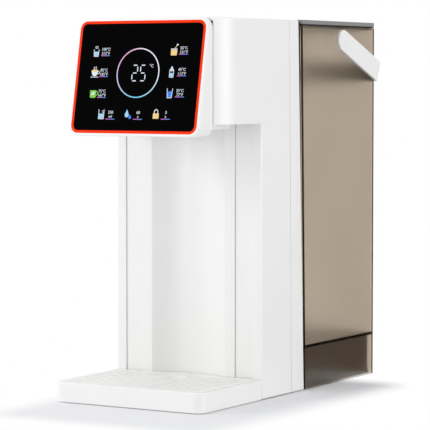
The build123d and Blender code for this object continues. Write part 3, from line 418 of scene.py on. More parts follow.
@dataclass(frozen=True)
class MilkySilicone(Finish):
    """Extruded silicone hose: milky and soft to the light, with faint clouds in its wall."""

    colour: str
    cloud: str
    cloud_mm: float
    roughness: float = 0.42
    ior: float = 1.41
    milk: float = 0.35
    milk_depth_mm: float = 2.0

    def shade(self, tree: bpy.types.NodeTree) -> None:
        """Let some light into the wall and cloud it a little."""
        place = add_node(tree, "ShaderNodeTexCoord").outputs["Object"]
        clouds = add_node(
            tree, "ShaderNodeTexNoise", {"Vector": place, "Scale": per_metre(self.cloud_mm), "Detail": 2.0}
        ).outputs["Fac"]
        tone = add_node(
            tree, "ShaderNodeMix",
            {0: clouds, 6: linear(self.colour), 7: linear(self.cloud)},
            data_type="RGBA",
        ).outputs[2]
        skin = add_node(
            tree, "ShaderNodeBsdfPrincipled",
            {
                "Base Color": tone, "Roughness": self.roughness, "IOR": self.ior,
                "Subsurface Weight": self.milk, "Subsurface Scale": self.milk_depth_mm * MM,
            },
        )
        add_node(tree, "ShaderNodeOutputMaterial", {"Surface": skin.outputs["BSDF"]})


# ABS straight from a polished tool: clean white with a satin gloss. The grain of all plastics here is drawn
# coarser than the real 0.1 mm so that it shows.
WHITE_ABS = MouldedPlastic(
    "white_abs_moulded", "#F1F1F0", "#EDEDEB", roughness=(0.30, 0.42), grain_mm=0.9, grain_height_mm=0.004
)
# Acetal of the nozzle: a slightly warmer white, duller than the casing.
NOZZLE_POM = MouldedPlastic(
    "white_acetal_moulded", "#E9E9E6", "#E3E3E0",
    roughness=(0.35, 0.5), grain_mm=0.7, grain_height_mm=0.004, cloud_mm=20.0, ior=1.48,
)
# Grey ABS of the lid: dull and a little rougher, because it is gripped.
GREY_ABS = MouldedPlastic(
    "grey_abs_moulded", "#8F8F8B", "#888884",
    roughness=(0.45, 0.58), grain_mm=0.8, grain_height_mm=0.01, specular=0.25,
)
# Orange ABS of the bezel: moulded in its colour and smooth, so the colour stays full.
ORANGE_ABS = MouldedPlastic(
    "orange_abs_moulded", "#FF3606", "#F83002",
    roughness=(0.22, 0.32), grain_mm=0.8, grain_height_mm=0.003, cloud_mm=25.0, specular=0.08,
)
# Black polypropylene behind and under the casing: matt from a spark-eroded tool.
DARK_PP = MouldedPlastic(
    "black_polypropylene_moulded", "#111113", "#18181A",
    roughness=(0.45, 0.62), grain_mm=0.8, grain_height_mm=0.02, cloud_mm=30.0, ior=1.49,
)
# Brown polypropylene of the dock: matt and dark, it shows through the tank's skirt.
DOCK_PP = MouldedPlastic(
    "brown_polypropylene_moulded", "#4A382A", "#423125",
    roughness=(0.6, 0.75), grain_mm=0.8, grain_height_mm=0.02, specular=0.05,
)
# Undyed polypropylene of valve, float and heater caps: waxy and off-white.
NATURAL_PP = MouldedPlastic(
    "natural_polypropylene_moulded", "#DCDCD3", "#D2D2C8",
    roughness=(0.4, 0.52), grain_mm=0.7, grain_height_mm=0.008, cloud_mm=15.0, ior=1.49,
)
# Glass-filled nylon of the pump: nearly black, with grey fibre clouds.
PUMP_NYLON = MouldedPlastic(
    "glass_filled_nylon_moulded", "#2B2B2E", "#3A3A3C",
    roughness=(0.42, 0.6), grain_mm=0.6, grain_height_mm=0.03, cloud_mm=6.0, ior=1.52,
)
# Undyed acetal of the impeller: creamy and slick.
ROTOR_POM = MouldedPlastic(
    "natural_acetal_moulded", "#D8D8CC", "#CFCFC3",
    roughness=(0.3, 0.42), grain_mm=0.6, grain_height_mm=0.004, cloud_mm=8.0, ior=1.48,
)
# Epoxy round the electronic parts: black, with a coarse cast skin.
BLACK_EPOXY = MouldedPlastic(
    "black_epoxy_cast", "#161617", "#202022",
    roughness=(0.4, 0.6), grain_mm=0.5, grain_height_mm=0.02, cloud_mm=5.0, ior=1.55,
)
# Rubber of seals and feet: dull, with a bloom that greys it in patches.
BLACK_RUBBER = MouldedPlastic(
    "black_rubber_pressed", "#181818", "#252524",
    roughness=(0.62, 0.8), grain_mm=0.6, grain_height_mm=0.03, cloud_mm=9.0, ior=1.52,
)
# Vinyl jacket of the head cable: mid grey and half matt.
CABLE_PVC = MouldedPlastic(
    "grey_vinyl_extruded", "#6B6B6E", "#626265",
    roughness=(0.45, 0.58), grain_mm=0.5, grain_height_mm=0.01, cloud_mm=12.0, ior=1.53,
)
# Smoke-brown acrylic of the tank: the dye takes blue first, so thick walls look brown.
SMOKED_ACRYLIC = SmokedTint(
    "smoked_acrylic_moulded", dye=(0.547, 0.403, 0.2), dye_density=200.0, roughness=(0.24, 0.27)
)
# Cover glass of the panel: deep black, with hardly any mirror image.
PANEL_GLASS = CoverGlass("black_printed_cover_glass", "#030304", roughness=(0.05, 0.1))
# Stainless steel of screws, springs and heater: drawn, with scratches along the draw.
STEEL = BrushedMetal("stainless_steel_drawn", "#C4C3BF", roughness=(0.22, 0.42), scratch_mm=0.5)
# Aluminium of heat sink and capacitor cans: pale, with the lines of its die.
ALUMINIUM = BrushedMetal(
    "aluminium_extruded", "#C9CACC", roughness=(0.3, 0.5), scratch_mm=0.6, stretch=(1.0, 0.08, 1.0)
)
# Zinc-coated steel of the chassis: dull, with grains that glint one by one.
ZINC = ZincSheet("zinc_coated_sheet", "#B9BCBE", "#96999C", spangle_mm=5.0)
# Circuit boards: green lacquer over copper tracks.
BOARD = CircuitBoard("solder_mask_on_glass_fibre", "#0B5A2A", "#2E8A4C", field_mm=8.0)
# Silicone hoses: milky white.
SILICONE = MilkySilicone("milky_silicone_extruded", "#E4E2D8", "#D6D4C8", cloud_mm=12.0)


class Ink(Enum):
    """The colours of the panel's lit print."""

    WHITE = LitInk("white_lit_print", "#F4FAFF", "#DCEBFA", glow=0.9)
    SKY = LitInk("sky_blue_lit_print", "#B4E2FF", "#93D0F6", glow=0.9)
    BLUE = LitInk("blue_lit_print", "#3F8DFF", "#2F78F0", glow=0.95)
    YELLOW = LitInk("yellow_lit_print", "#FBE2A2", "#F5C766", glow=0.9)
    GREEN = LitInk("green_lit_print", "#9BE35A", "#6CCB3C", glow=0.85)


# Lit lines whose colour runs: pink to blue under the keys, and round the ring from white over pink to blue.
LINE_FADE = FadedInk(
    "line_lit_print", stops=((0.0, "#FF6BB5"), (0.5, "#A27BFF"), (1.0, "#3FA9FF")), glow=0.8
)
RING_FADE = FadedInk(
    "ring_lit_print",
    stops=(
        (0.0, "#F3F6FF"), (0.2, "#F7EAF6"), (0.36, "#F0A9D6"),
        (0.55, "#D8C9F5"), (0.74, "#6FD3F2"), (0.9, "#BFE6F8"),
        (1.0, "#F3F6FF"),
    ),
    glow=1.0,
)


def dress_nodes(finishes: dict[Finish, Sequence[str]]) -> None:
    """Give CAD nodes their finish, in the material slots they already have.

    Args:
        finishes: Each finish with the names of the nodes that wear it.
    """
    for finish, names in finishes.items():
        for name in names:
            mesh = frame["nodes"][name].data
            if not mesh.materials:
                mesh.materials.append(None)
            for index in range(len(mesh.materials)):
                mesh.materials[index] = finish.material()
            LOG.info("%s wears %s", name, finish.name)


def place_piece(name: str, mesh: bpy.types.Mesh, place: Matrix, body: str) -> bpy.types.Object:
    """Put a finished mesh into the scene with its place in its vertices.

    Args:
        name: The piece's name.
        mesh: Its mesh, in its own flat coordinates.
        place: Where those coordinates lie in the row frame.
        body: The body that it rides on.

    Returns:
        The piece's object, at the origin.
    """
    mesh.transform(place)
    mesh.update()
    mesh.name = name
    piece = bpy.data.objects.new(name, mesh)
    bpy.context.scene.collection.objects.link(piece)
    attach(piece, body)
    LOG.info("%s has %d faces and rides on %s", name, len(mesh.polygons), body)
    return piece


def settle(carrier: bpy.types.Object) -> bpy.types.Mesh:
    """Turn an object with a live modifier or text into a plain mesh, and remove the object.

    Args:
        carrier: The object to evaluate.

    Returns:
        A plain mesh of what the object shows.
    """
    bpy.context.scene.collection.objects.link(carrier)
    seen = carrier.evaluated_get(bpy.context.evaluated_depsgraph_get())
    mesh = bpy.data.meshes.new_from_object(seen)
    carrier.modifiers.clear()
    bpy.data.objects.remove(carrier)
    return mesh


def grow_nodes(
    name: str,
    seed: bpy.types.Mesh,
    sizes: dict[str, float],
    wire: Callable[[bpy.types.NodeTree, bpy.types.Node], bpy.types.NodeSocket],
    finish: Finish,
) -> bpy.types.Mesh:
    """Build a Geometry Nodes tree, run it on a seed mesh and return the plain result.

    Args:
        name: Name of the tree.
        seed: The mesh that the tree starts from.
        sizes: Named float inputs of the tree with their values, in metres.
        wire: Adds the tree's own nodes and returns the geometry socket that it ends in.
        finish: The finish that Set Material gives to the result.

    Returns:
        The realized mesh.
    """
    tree = bpy.data.node_groups.new(name, "GeometryNodeTree")
    tree.interface.new_socket("Geometry", in_out="INPUT", socket_type="NodeSocketGeometry")
    for label in sizes:
        tree.interface.new_socket(label, in_out="INPUT", socket_type="NodeSocketFloat")
    tree.interface.new_socket("Material", in_out="INPUT", socket_type="NodeSocketMaterial")
    tree.interface.new_socket("Geometry", in_out="OUTPUT", socket_type="NodeSocketGeometry")
    entry = add_node(tree, "NodeGroupInput")
    shape = wire(tree, entry)
    solid = add_node(tree, "GeometryNodeRealizeInstances", {"Geometry": shape}).outputs["Geometry"]
    dressed = add_node(
        tree, "GeometryNodeSetMaterial", {"Geometry": solid, "Material": entry.outputs["Material"]}
    )
    add_node(tree, "NodeGroupOutput", {"Geometry": dressed.outputs["Geometry"]})
    carrier = bpy.data.objects.new(name, seed)
    modifier = carrier.modifiers.new(name, "NODES")
    modifier.node_group = tree
    keys = {item.name: item.identifier for item in tree.interface.items_tree if item.in_out == "INPUT"}
    for label, value in sizes.items():
        modifier[keys[label]] = value
    modifier[keys["Material"]] = finish.material()
    return settle(carrier)


def wire_bars(tree: bpy.types.NodeTree, entry: bpy.types.Node) -> bpy.types.NodeSocket:
    """Stand a flat bar on every point, as long and as turned as the point says.

    Args:
        tree: The tree that gets the nodes.
        entry: Its input node, with the sizes Width and Thickness.

    Returns:
        The socket with the bars as instances.
    """
    bar = add_node(tree, "GeometryNodeMeshCube", {"Size": (1.0, 1.0, 1.0)}).outputs["Mesh"]
    spot = add_node(tree, "GeometryNodeInputPosition").outputs["Position"]
    across = add_node(tree, "ShaderNodeSeparateXYZ", {"Vector": spot}).outputs["X"]
    share = add_node(tree, "ShaderNodeMath", {0: across, 1: 0.5}, operation="ADD").outputs["Value"]
    marked = add_node(
        tree, "GeometryNodeStoreNamedAttribute",
        {"Geometry": bar, "Name": "along", "Value": share},
        data_type="FLOAT",
    ).outputs["Geometry"]
    reach = add_node(
        tree, "GeometryNodeInputNamedAttribute", {"Name": "reach"}, data_type="FLOAT"
    ).outputs["Attribute"]
    turn = add_node(
        tree, "GeometryNodeInputNamedAttribute", {"Name": "turn"}, data_type="FLOAT"
    ).outputs["Attribute"]
    angles = add_node(tree, "ShaderNodeCombineXYZ", {"Z": turn}).outputs["Vector"]
    bearing = add_node(tree, "FunctionNodeEulerToRotation", {"Euler": angles}).outputs["Rotation"]
    size = add_node(
        tree, "ShaderNodeCombineXYZ",
        {"X": reach, "Y": entry.outputs["Width"], "Z": entry.outputs["Thickness"]},
    ).outputs["Vector"]
    points = add_node(
        tree, "GeometryNodeMeshToPoints", {"Mesh": entry.outputs["Geometry"]}
    ).outputs["Points"]
    return add_node(
        tree, "GeometryNodeInstanceOnPoints",
        {"Points": points, "Instance": marked, "Rotation": bearing, "Scale": size},
    ).outputs["Instances"]


RING_STEPS = 128


def wire_ring(tree: bpy.types.NodeTree, entry: bpy.types.Node) -> bpy.types.NodeSocket:
    """Sweep a flat strip round a circle and mark how far round each point lies.

    Args:
        tree: The tree that gets the nodes.
        entry: Its input node, with the sizes Radius, Width and Thickness.

    Returns:
        The socket with the ring's mesh.
    """
    circle = add_node(
        tree, "GeometryNodeCurvePrimitiveCircle",
        {"Resolution": RING_STEPS, "Radius": entry.outputs["Radius"]},
    ).outputs["Curve"]
    factor = add_node(tree, "GeometryNodeSplineParameter").outputs["Factor"]
    marked = add_node(
        tree, "GeometryNodeStoreNamedAttribute", {"Geometry": circle, "Name": "along", "Value": factor},
        data_type="FLOAT",
    ).outputs["Geometry"]
    strip = add_node(
        tree, "GeometryNodeCurvePrimitiveQuadrilateral",
        {"Width": entry.outputs["Width"], "Height": entry.outputs["Thickness"]},
    ).outputs["Curve"]
    return add_node(
        tree, "GeometryNodeCurveToMesh", {"Curve": marked, "Profile Curve": strip}
    ).outputs["Mesh"]


# How far a line's corner may reach out, as the least cosine that its width is divided by.
MITRE_LIMIT = 0.5


@dataclass(frozen=True)
class Stroke:
    """One filled patch or one line of a pictogram, in millimetres from the pictogram's middle."""

    ink: Ink
    points: tuple[Point, ...]
    width: float = 0.0
    closed: bool = False

    def patches(self) -> list[list[Point]]:
        """Give the flat patches that the stroke covers.

        Returns:
            One outline for a filled patch, or one quad for each run of a line.
        """
        if not self.width:
            return [list(self.points)]
        count = len(self.points)
        rims = []
        for index, here in enumerate(self.points):
            before = self.points[index - 1] if index or self.closed else here
            after = self.points[(index + 1) % count] if index < count - 1 or self.closed else here
            lead = Vector(here) - Vector(before)
            trail = Vector(after) - Vector(here)
            heading = (lead.normalized() + trail.normalized()).normalized()
            side = Vector((-heading.y, heading.x))
            run = trail if trail.length else lead
            square = abs(side.dot(Vector((-run.y, run.x)).normalized()))
            reach = self.width / 2 / max(square, MITRE_LIMIT)
            rims.append((Vector(here) + side * reach, Vector(here) - side * reach))
        runs = count if self.closed else count - 1
        quads = []
        for index in range(runs):
            left, right = rims[index]
            next_left, next_right = rims[(index + 1) % count]
            quads.append([tuple(left), tuple(right), tuple(next_right), tuple(next_left)])
        return quads


def arc(middle: Point, radius: Point, start: float, end: float, steps: int) -> tuple[Point, ...]:
    """Give points on part of an ellipse.

    Args:
        middle: The ellipse's middle.
        radius: Its two half widths.
        start: First angle in degrees.
        end: Last angle in degrees.
        steps: How many runs the arc has.

    Returns:
        The points, one more than steps.
    """
    angles = [math.radians(start + (end - start) * index / steps) for index in range(steps + 1)]
    return tuple((middle[0] + radius[0] * math.cos(a), middle[1] + radius[1] * math.sin(a)) for a in angles)


def disc(ink: Ink, middle: Point, radius: Point, corners: int = 24) -> Stroke:
    """Give a filled ellipse."""
    return Stroke(ink, arc(middle, radius, 0, 360 - 360 / corners, corners - 1))


def steam(ink: Ink, left: float, low: float) -> Stroke:
    """Give one rising wisp of steam as a line."""
    sway, turn, rise, width, corners = 0.35, 1.3, 0.35, 0.4, 7
    spots = tuple((left + sway * math.sin(step * turn), low + rise * step) for step in range(corners))
    return Stroke(ink, spots, width)


# Widths of the pictograms' lines and of a scale's marks, in millimetres.
LINE = 0.5
MARK = 0.35


class Pictogram(Enum):
    """Plain pictures of what each key gives."""

    BOILING_GLASS = (
        Stroke(Ink.WHITE, ((-2.4, 1.4), (-1.9, -4.2), (1.9, -4.2), (2.4, 1.4)), LINE),
        Stroke(Ink.SKY, ((-2.0, -0.4), (-1.6, -3.8), (1.6, -3.8), (2.0, -0.4))),
        steam(Ink.WHITE, -0.9, 2.0), steam(Ink.WHITE, 0.8, 2.0),
    )
    HOT_CUP = (
        Stroke(Ink.WHITE, ((-3.2, 1.4), *arc((0.0, -0.6), (2.6, 2.4), 190, 350, 10), (3.2, 1.4))),
        disc(Ink.YELLOW, (0.0, 1.5), (3.1, 0.9)),
        Stroke(Ink.WHITE, arc((3.2, 0.0), (1.3, 1.2), 80, -110, 8), LINE),
        Stroke(Ink.WHITE, ((-3.6, -3.7), (3.6, -3.7)), LINE),
        steam(Ink.WHITE, -0.8, 2.6), steam(Ink.WHITE, 0.9, 2.6),
    )
    LEAF_MUG = (
        Stroke(Ink.GREEN, ((-3.0, 2.4), (-2.7, -2.9), (-2.1, -3.6), (2.1, -3.6), (2.7, -2.9), (3.0, 2.4))),
        Stroke(Ink.GREEN, arc((3.0, 0.0), (1.5, 1.6), 80, -100, 8), LINE + 0.1),
        Stroke(Ink.WHITE, ((-1.6, -1.8), (-0.9, 0.7), (1.4, 1.3), (1.0, -0.9))),
    )
    HONEY_JAR = (
        Stroke(Ink.YELLOW, ((-2.6, 0.8), (-3.0, -0.4), (-2.6, -3.8), (2.6, -3.8), (3.0, -0.4), (2.6, 0.8))),
        Stroke(Ink.WHITE, ((-2.9, 1.3), (2.9, 1.3)), LINE + 0.2),
        Stroke(Ink.YELLOW, ((0.6, 1.8), (2.6, 4.6)), LINE),
        disc(Ink.WHITE, (2.8, 4.7), (0.8, 0.7)),
    )
    FEEDING_BOTTLE = (
        Stroke(
            Ink.WHITE,
            ((-1.8, 0.8), (-1.8, -3.8), (-1.4, -4.3), (1.4, -4.3), (1.8, -3.8), (1.8, 0.8)),
            LINE,
            True,
        ),
        Stroke(Ink.SKY, ((-1.4, -0.9), (-1.4, -3.8), (1.4, -3.8), (1.4, -0.9))),
        Stroke(Ink.WHITE, ((-1.9, 1.7), (1.9, 1.7)), 0.9),
        Stroke(Ink.WHITE, ((-1.1, 2.3), *arc((0.0, 3.1), (0.8, 1.3), 150, 30, 6), (1.1, 2.3))),
    )
    COLD_GLASS = (
        Stroke(Ink.WHITE, ((-2.5, 3.4), (-1.9, -4.0), (1.9, -4.0), (2.5, 3.4)), LINE),
        Stroke(Ink.BLUE, ((-2.1, 1.2), (-1.0, 0.8), (0.2, 1.3), (2.1, 0.9), (1.6, -3.6), (-1.6, -3.6))),
    )
    MEASURE = (
        Stroke(Ink.WHITE, ((-2.8, 3.6), (-2.4, 3.0), (-2.4, -3.8), (2.4, -3.8), (2.4, 3.6)), LINE),
        Stroke(Ink.SKY, ((-2.0, 0.4), (-2.0, -3.4), (2.0, -3.4), (2.0, 0.4))),
        Stroke(Ink.WHITE, ((1.0, 1.4), (2.2, 1.4)), MARK), Stroke(Ink.WHITE, ((0.4, 2.5), (2.2, 2.5)), MARK),
    )
    TWO_DROPS = (
        Stroke(Ink.SKY, ((-1.2, 3.8), *arc((-1.2, -0.6), (1.9, 1.9), 150, 390, 12))),
        Stroke(Ink.BLUE, ((1.9, -0.2), *arc((1.9, -2.6), (1.2, 1.2), 150, 390, 10))),
    )
    PADLOCK = (
        Stroke(Ink.WHITE, ((-1.6, 0.2), *arc((0.0, 1.6), (1.6, 1.9), 180, 0, 10), (1.6, 0.2)), 0.7),
        Stroke(Ink.YELLOW, ((-2.7, 0.4), (-2.7, -3.8), (2.7, -3.8), (2.7, 0.4))),
    )


@dataclass(frozen=True)
class Key:
    """One touch key: its pictogram, its numbers and where they stand on the glass, in millimetres."""

    picture: Pictogram
    lines: tuple[str, str]
    picture_at: Point
    words_at: Point
    underline_at: Point


@dataclass
class TouchPanel:
    """The tilted head: housing, bezel and glass from the CAD, and the lit print on the glass."""

    thickness_mm: float = 0.12
    sunk_mm: float = 0.03
    rank_step_mm: float = 0.01
    ring_at: Point = (-0.1, 3.2)
    ring_radius_mm: float = 19.6
    ring_width_mm: float = 0.85
    digits_left_mm: tuple[float, float] = (-5.8, 1.75)
    digit_width_mm: float = 5.5
    digit_low_mm: float = -3.5
    digit_height_mm: float = 13.3
    segment_width_mm: float = 0.8
    dash_mm: tuple[float, float] = (3.3, 3.9)
    degree_at: Point = (12.2, 8.7)
    degree_mm: float = 3.6
    letter_mm: float = 3.3
    letter_gap_mm: float = 3.3
    letter_steps: int = 3
    merge_mm: float = 1e-4
    underline_mm: float = 8.3
    underline_width_mm: float = 0.55
    keys: tuple[Key, ...] = (
        Key(Pictogram.BOILING_GLASS, ("100°C", "212°F"), (-41.6, 20.9), (-32.5, 22.3), (-32.5, 17.2)),
        Key(Pictogram.HOT_CUP, ("85°C", "185°F"), (-41.3, 3.6), (-32.5, 5.4), (-32.5, 0.3)),
        Key(Pictogram.LEAF_MUG, ("75°C", "167°F"), (-41.0, -13.3), (-32.5, -11.6), (-32.6, -16.6)),
        Key(Pictogram.HONEY_JAR, ("55°C", "131°F"), (31.8, 20.9), (40.8, 22.9), (40.8, 18.0)),
        Key(Pictogram.FEEDING_BOTTLE, ("45°C", "113°F"), (31.4, 4.0), (40.8, 5.8), (40.8, 0.8)),
        Key(Pictogram.COLD_GLASS, ("25°C", "77°F"), (31.4, -12.6), (40.8, -11.0), (40.8, -15.9)),
        Key(Pictogram.MEASURE, ("250", "ml"), (-31.1, -30.0), (-22.3, -28.6), (-22.4, -34.0)),
        Key(Pictogram.TWO_DROPS, ("60", "s"), (-5.6, -29.9), (3.9, -28.6), (3.8, -33.9)),
        Key(Pictogram.PADLOCK, ("3", "s"), (20.6, -29.5), (29.8, -28.4), (29.8, -33.6)),
    )

    def face(self) -> Matrix:
        """Find the glass's front face.

        Returns:
            The face's own frame in metres, from its middle: x to the right, y up the glass, z out of it.
        """
        mesh = frame["nodes"]["touch_glass"].data
        facing = -0.9
        front = [polygon for polygon in mesh.polygons if polygon.normal.y < facing]
        out = sum((polygon.normal * polygon.area for polygon in front), Vector()).normalized()
        right = Vector((1.0, 0.0, 0.0))
        up = out.cross(right)
        spots = [mesh.vertices[index].co for polygon in front for index in polygon.vertices]
        heights = [spot.dot(up) for spot in spots]
        level = sum(spot.dot(out) for spot in spots) / len(spots)
        middle = out * level + up * ((min(heights) + max(heights)) / 2)
        return Matrix.LocRotScale(middle, Matrix((right, up, out)).transposed(), None)

    def build(self) -> list[bpy.types.Object]:
        """Print the glass: ring, digits, underlines, pictograms and numbers.

        Returns:
            The pieces of the print.
        """
        lift = (self.thickness_mm / 2 - self.sunk_mm) * MM
        middle = self.face() @ Matrix.Translation((0.0, 0.0, lift))
        foot = self.face() @ Matrix.Translation((0.0, 0.0, -self.sunk_mm * MM))
        made = [self.ring(middle), self.underlines(middle), self.digits(middle), self.numbers(middle)]
        made.extend(self.pictures(foot))
        return made

    def ring(self, place: Matrix) -> bpy.types.Object:
        """Make the ring of light round the digits."""
        sizes = {"Radius": self.ring_radius_mm, "Width": self.ring_width_mm, "Thickness": self.thickness_mm}
        mesh = grow_nodes(
            "light_ring",
            bpy.data.meshes.new("ring_seed"),
            {name: size * MM for name, size in sizes.items()},
            wire_ring,
            RING_FADE,
        )
        shift = Matrix.Translation((self.ring_at[0] * MM, self.ring_at[1] * MM, 0.0))
        return place_piece("panel_light_ring", mesh, place @ shift, "casing")

    def bars(
        self, name: str, bars: Sequence[tuple[Point, float, float]], width: float, finish: Finish
    ) -> bpy.types.Mesh:
        """Make bars of one width.

        Args:
            name: Name of the node tree.
            bars: Middle, length and turn of each bar, in millimetres and radians.
            width: Their width in millimetres.
            finish: Their finish.

        Returns:
            The bars as one plain mesh.
        """
        seed = bpy.data.meshes.new(name + "_seed")
        seed.from_pydata([(x * MM, y * MM, 0.0) for (x, y), _, _ in bars], [], [])
        reach = seed.attributes.new("reach", "FLOAT", "POINT")
        turn = seed.attributes.new("turn", "FLOAT", "POINT")
        for index, (_, length, angle) in enumerate(bars):
            reach.data[index].value = length * MM
            turn.data[index].value = angle
        sizes = {"Width": width * MM, "Thickness": self.thickness_mm * MM}
        return grow_nodes(name, seed, sizes, wire_bars, finish)

    def underlines(self, place: Matrix) -> bpy.types.Object:
        """Make the fading line under each key's numbers."""
        bars = [(key.underline_at, self.underline_mm, 0.0) for key in self.keys]
        mesh = self.bars("key_underlines", bars, self.underline_width_mm, LINE_FADE)
        return place_piece("panel_key_underlines", mesh, place, "casing")

    def digits(self, place: Matrix) -> bpy.types.Object:
        """Make the two seven-segment digits in the ring, a 2 and a 5."""
        lit = ("abged", "afgcd")
        upright = math.pi / 2
        wide, tall = self.dash_mm
        low = self.digit_low_mm + self.segment_width_mm / 2
        step = (self.digit_height_mm - self.segment_width_mm) / 2
        bars = []
        for left, segments in zip(self.digits_left_mm, lit):
            near = left + self.segment_width_mm / 2
            far = left + self.digit_width_mm - self.segment_width_mm / 2
            mid = (near + far) / 2
            spots = {
                "a": ((mid, low + 2 * step), wide, 0.0),
                "g": ((mid, low + step), wide, 0.0),
                "d": ((mid, low), wide, 0.0),
                "b": ((far, low + 1.5 * step), tall, upright),
                "c": ((far, low + 0.5 * step), tall, upright),
                "f": ((near, low + 1.5 * step), tall, upright),
                "e": ((near, low + 0.5 * step), tall, upright),
            }
            bars.extend(spots[segment] for segment in segments)
        mesh = self.bars("digit_segments", bars, self.segment_width_mm, Ink.WHITE.value)
        return place_piece("panel_digits", mesh, place, "casing")

    def numbers(self, place: Matrix) -> bpy.types.Object:
        """Set the keys' numbers and the degree sign in plain type, joined into one piece."""
        spots: list[tuple[str, Point, float]] = [("°C", self.degree_at, self.degree_mm)]
        for key in self.keys:
            for row, words in enumerate(key.lines):
                x, y = key.words_at
                spots.append((words, (x, y - row * self.letter_gap_mm), self.letter_mm))
        sheet = bmesh.new()
        for words, (x, y), size in spots:
            type_line = bpy.data.curves.new("type_line", "FONT")
            type_line.body = words
            type_line.size = size * MM
            type_line.align_x = "CENTER"
            type_line.align_y = "CENTER"
            type_line.extrude = self.thickness_mm / 2 * MM
            type_line.resolution_u = self.letter_steps
            mesh = settle(bpy.data.objects.new("type_line", type_line))
            mesh.transform(Matrix.Translation((x * MM, y * MM, 0.0)))
            sheet.from_mesh(mesh)
            bpy.data.meshes.remove(mesh)
        bmesh.ops.remove_doubles(sheet, verts=sheet.verts, dist=self.merge_mm * MM)
        bmesh.ops.recalc_face_normals(sheet, faces=sheet.faces)
        joined = bpy.data.meshes.new("numbers")
        sheet.to_mesh(joined)
        sheet.free()
        joined.materials.clear()
        joined.materials.append(Ink.WHITE.value.material())
        return place_piece("panel_numbers", joined, place, "casing")

    def pictures(self, place: Matrix) -> list[bpy.types.Object]:
        """Cut the pictograms as thin inlays, one piece for each ink.

        Args:
            place: The glass's frame, sunk by the inlay's foot.

        Returns:
            One piece for each ink.
        """
        made = []
        for ink in Ink:
            sheet = bmesh.new()
            for key in self.keys:
                for rank, stroke in enumerate(key.picture.value):
                    if stroke.ink is ink:
                        self.lay(sheet, stroke, key.picture_at, rank)
            mesh = bpy.data.meshes.new("pictures")
            bmesh.ops.recalc_face_normals(sheet, faces=sheet.faces)
            sheet.to_mesh(mesh)
            sheet.free()
            mesh.materials.append(ink.value.material())
            name = f"panel_pictures_{ink.name.lower()}"
            made.append(place_piece(name, mesh, place, "casing"))
        return made

    def lay(self, sheet: bmesh.types.BMesh, stroke: Stroke, at: Point, rank: int) -> None:
        """Add one stroke to a sheet as a closed thin solid; a picture's later strokes lie a little higher.

        Args:
            sheet: The mesh that gets the stroke.
            stroke: The stroke.
            at: The picture's middle on the glass, in millimetres.
            rank: The stroke's place in its picture.
        """
        height = (self.thickness_mm + self.rank_step_mm * rank) * MM
        spots: dict[tuple[float, float], bmesh.types.BMVert] = {}
        flats = []
        for patch in stroke.patches():
            corners = []
            for x, y in patch:
                key = (round(x, 4), round(y, 4))
                if key not in spots:
                    spots[key] = sheet.verts.new(((x + at[0]) * MM, (y + at[1]) * MM, 0.0))
                corners.append(spots[key])
            flats.append(sheet.faces.new(corners))
        raised = bmesh.ops.extrude_face_region(sheet, geom=flats, use_keep_orig=True)["geom"]
        for item in raised:
            if isinstance(item, bmesh.types.BMVert):
                item.co.z += height

    def dress(self) -> None:
        """Give the head's CAD pieces their finishes."""
        dress_nodes(
            {
                WHITE_ABS: ("head_housing",),
                ORANGE_ABS: ("bezel_ring",),
                PANEL_GLASS: ("touch_glass",),
                BLACK_RUBBER: ("head_gasket",),
                STEEL: ("head_screws", "touch_springs"),
                BOARD: ("display_board",),
                BLACK_EPOXY: ("digit_module",),
            }
        )


class CadAssembly:
    """A sub-assembly whose CAD pieces have the right shape and only need their finishes."""

    def build(self) -> list[bpy.types.Object]:
        """Add nothing to the CAD pieces."""
        return []


@dataclass
class Casing(CadAssembly):
    """Outer shell, pillars, niche, rear frame, cover, base and cord gland, all from the CAD."""

    white: tuple[str, ...] = (
        "outer_shell", "front_frame", "niche_panel", "rear_frame", "rear_top", "underside_cover",
    )
    dark: tuple[str, ...] = ("rear_panel", "base_plate", "cord_gland")

    def dress(self) -> None:
        """Give the casing's pieces their finishes."""
        dress_nodes(
            {
                WHITE_ABS: self.white,
                DARK_PP: self.dark,
                DOCK_PP: ("tank_dock",),
                NOZZLE_POM: ("nozzle",),
                BLACK_RUBBER: ("rubber_feet",),
                STEEL: ("base_screws",),
            }
        )


@dataclass
class DripTray(CadAssembly):
    """The pull-out tray with its grille, from the CAD."""

    white: tuple[str, ...] = ("drip_tray", "tray_grille")

    def dress(self) -> None:
        """Give the tray's pieces their finishes."""
        dress_nodes({WHITE_ABS: self.white, BLACK_RUBBER: ("tray_feet",)})


@dataclass
class WaterTank(CadAssembly):
    """The lift-off tank with lid, handle, valve and float, from the CAD."""

    fittings: tuple[str, ...] = ("valve_body", "valve_poppet", "valve_seat", "float_post", "level_float")

    def dress(self) -> None:
        """Give the tank's pieces their finishes."""
        dress_nodes(
            {
                SMOKED_ACRYLIC: ("tank",),
                GREY_ABS: ("tank_lid",),
                WHITE_ABS: ("tank_handle",),
                NATURAL_PP: self.fittings,
                BLACK_RUBBER: ("lid_seal", "poppet_seal", "seat_seal"),
                STEEL: ("valve_spring",),
            }
        )


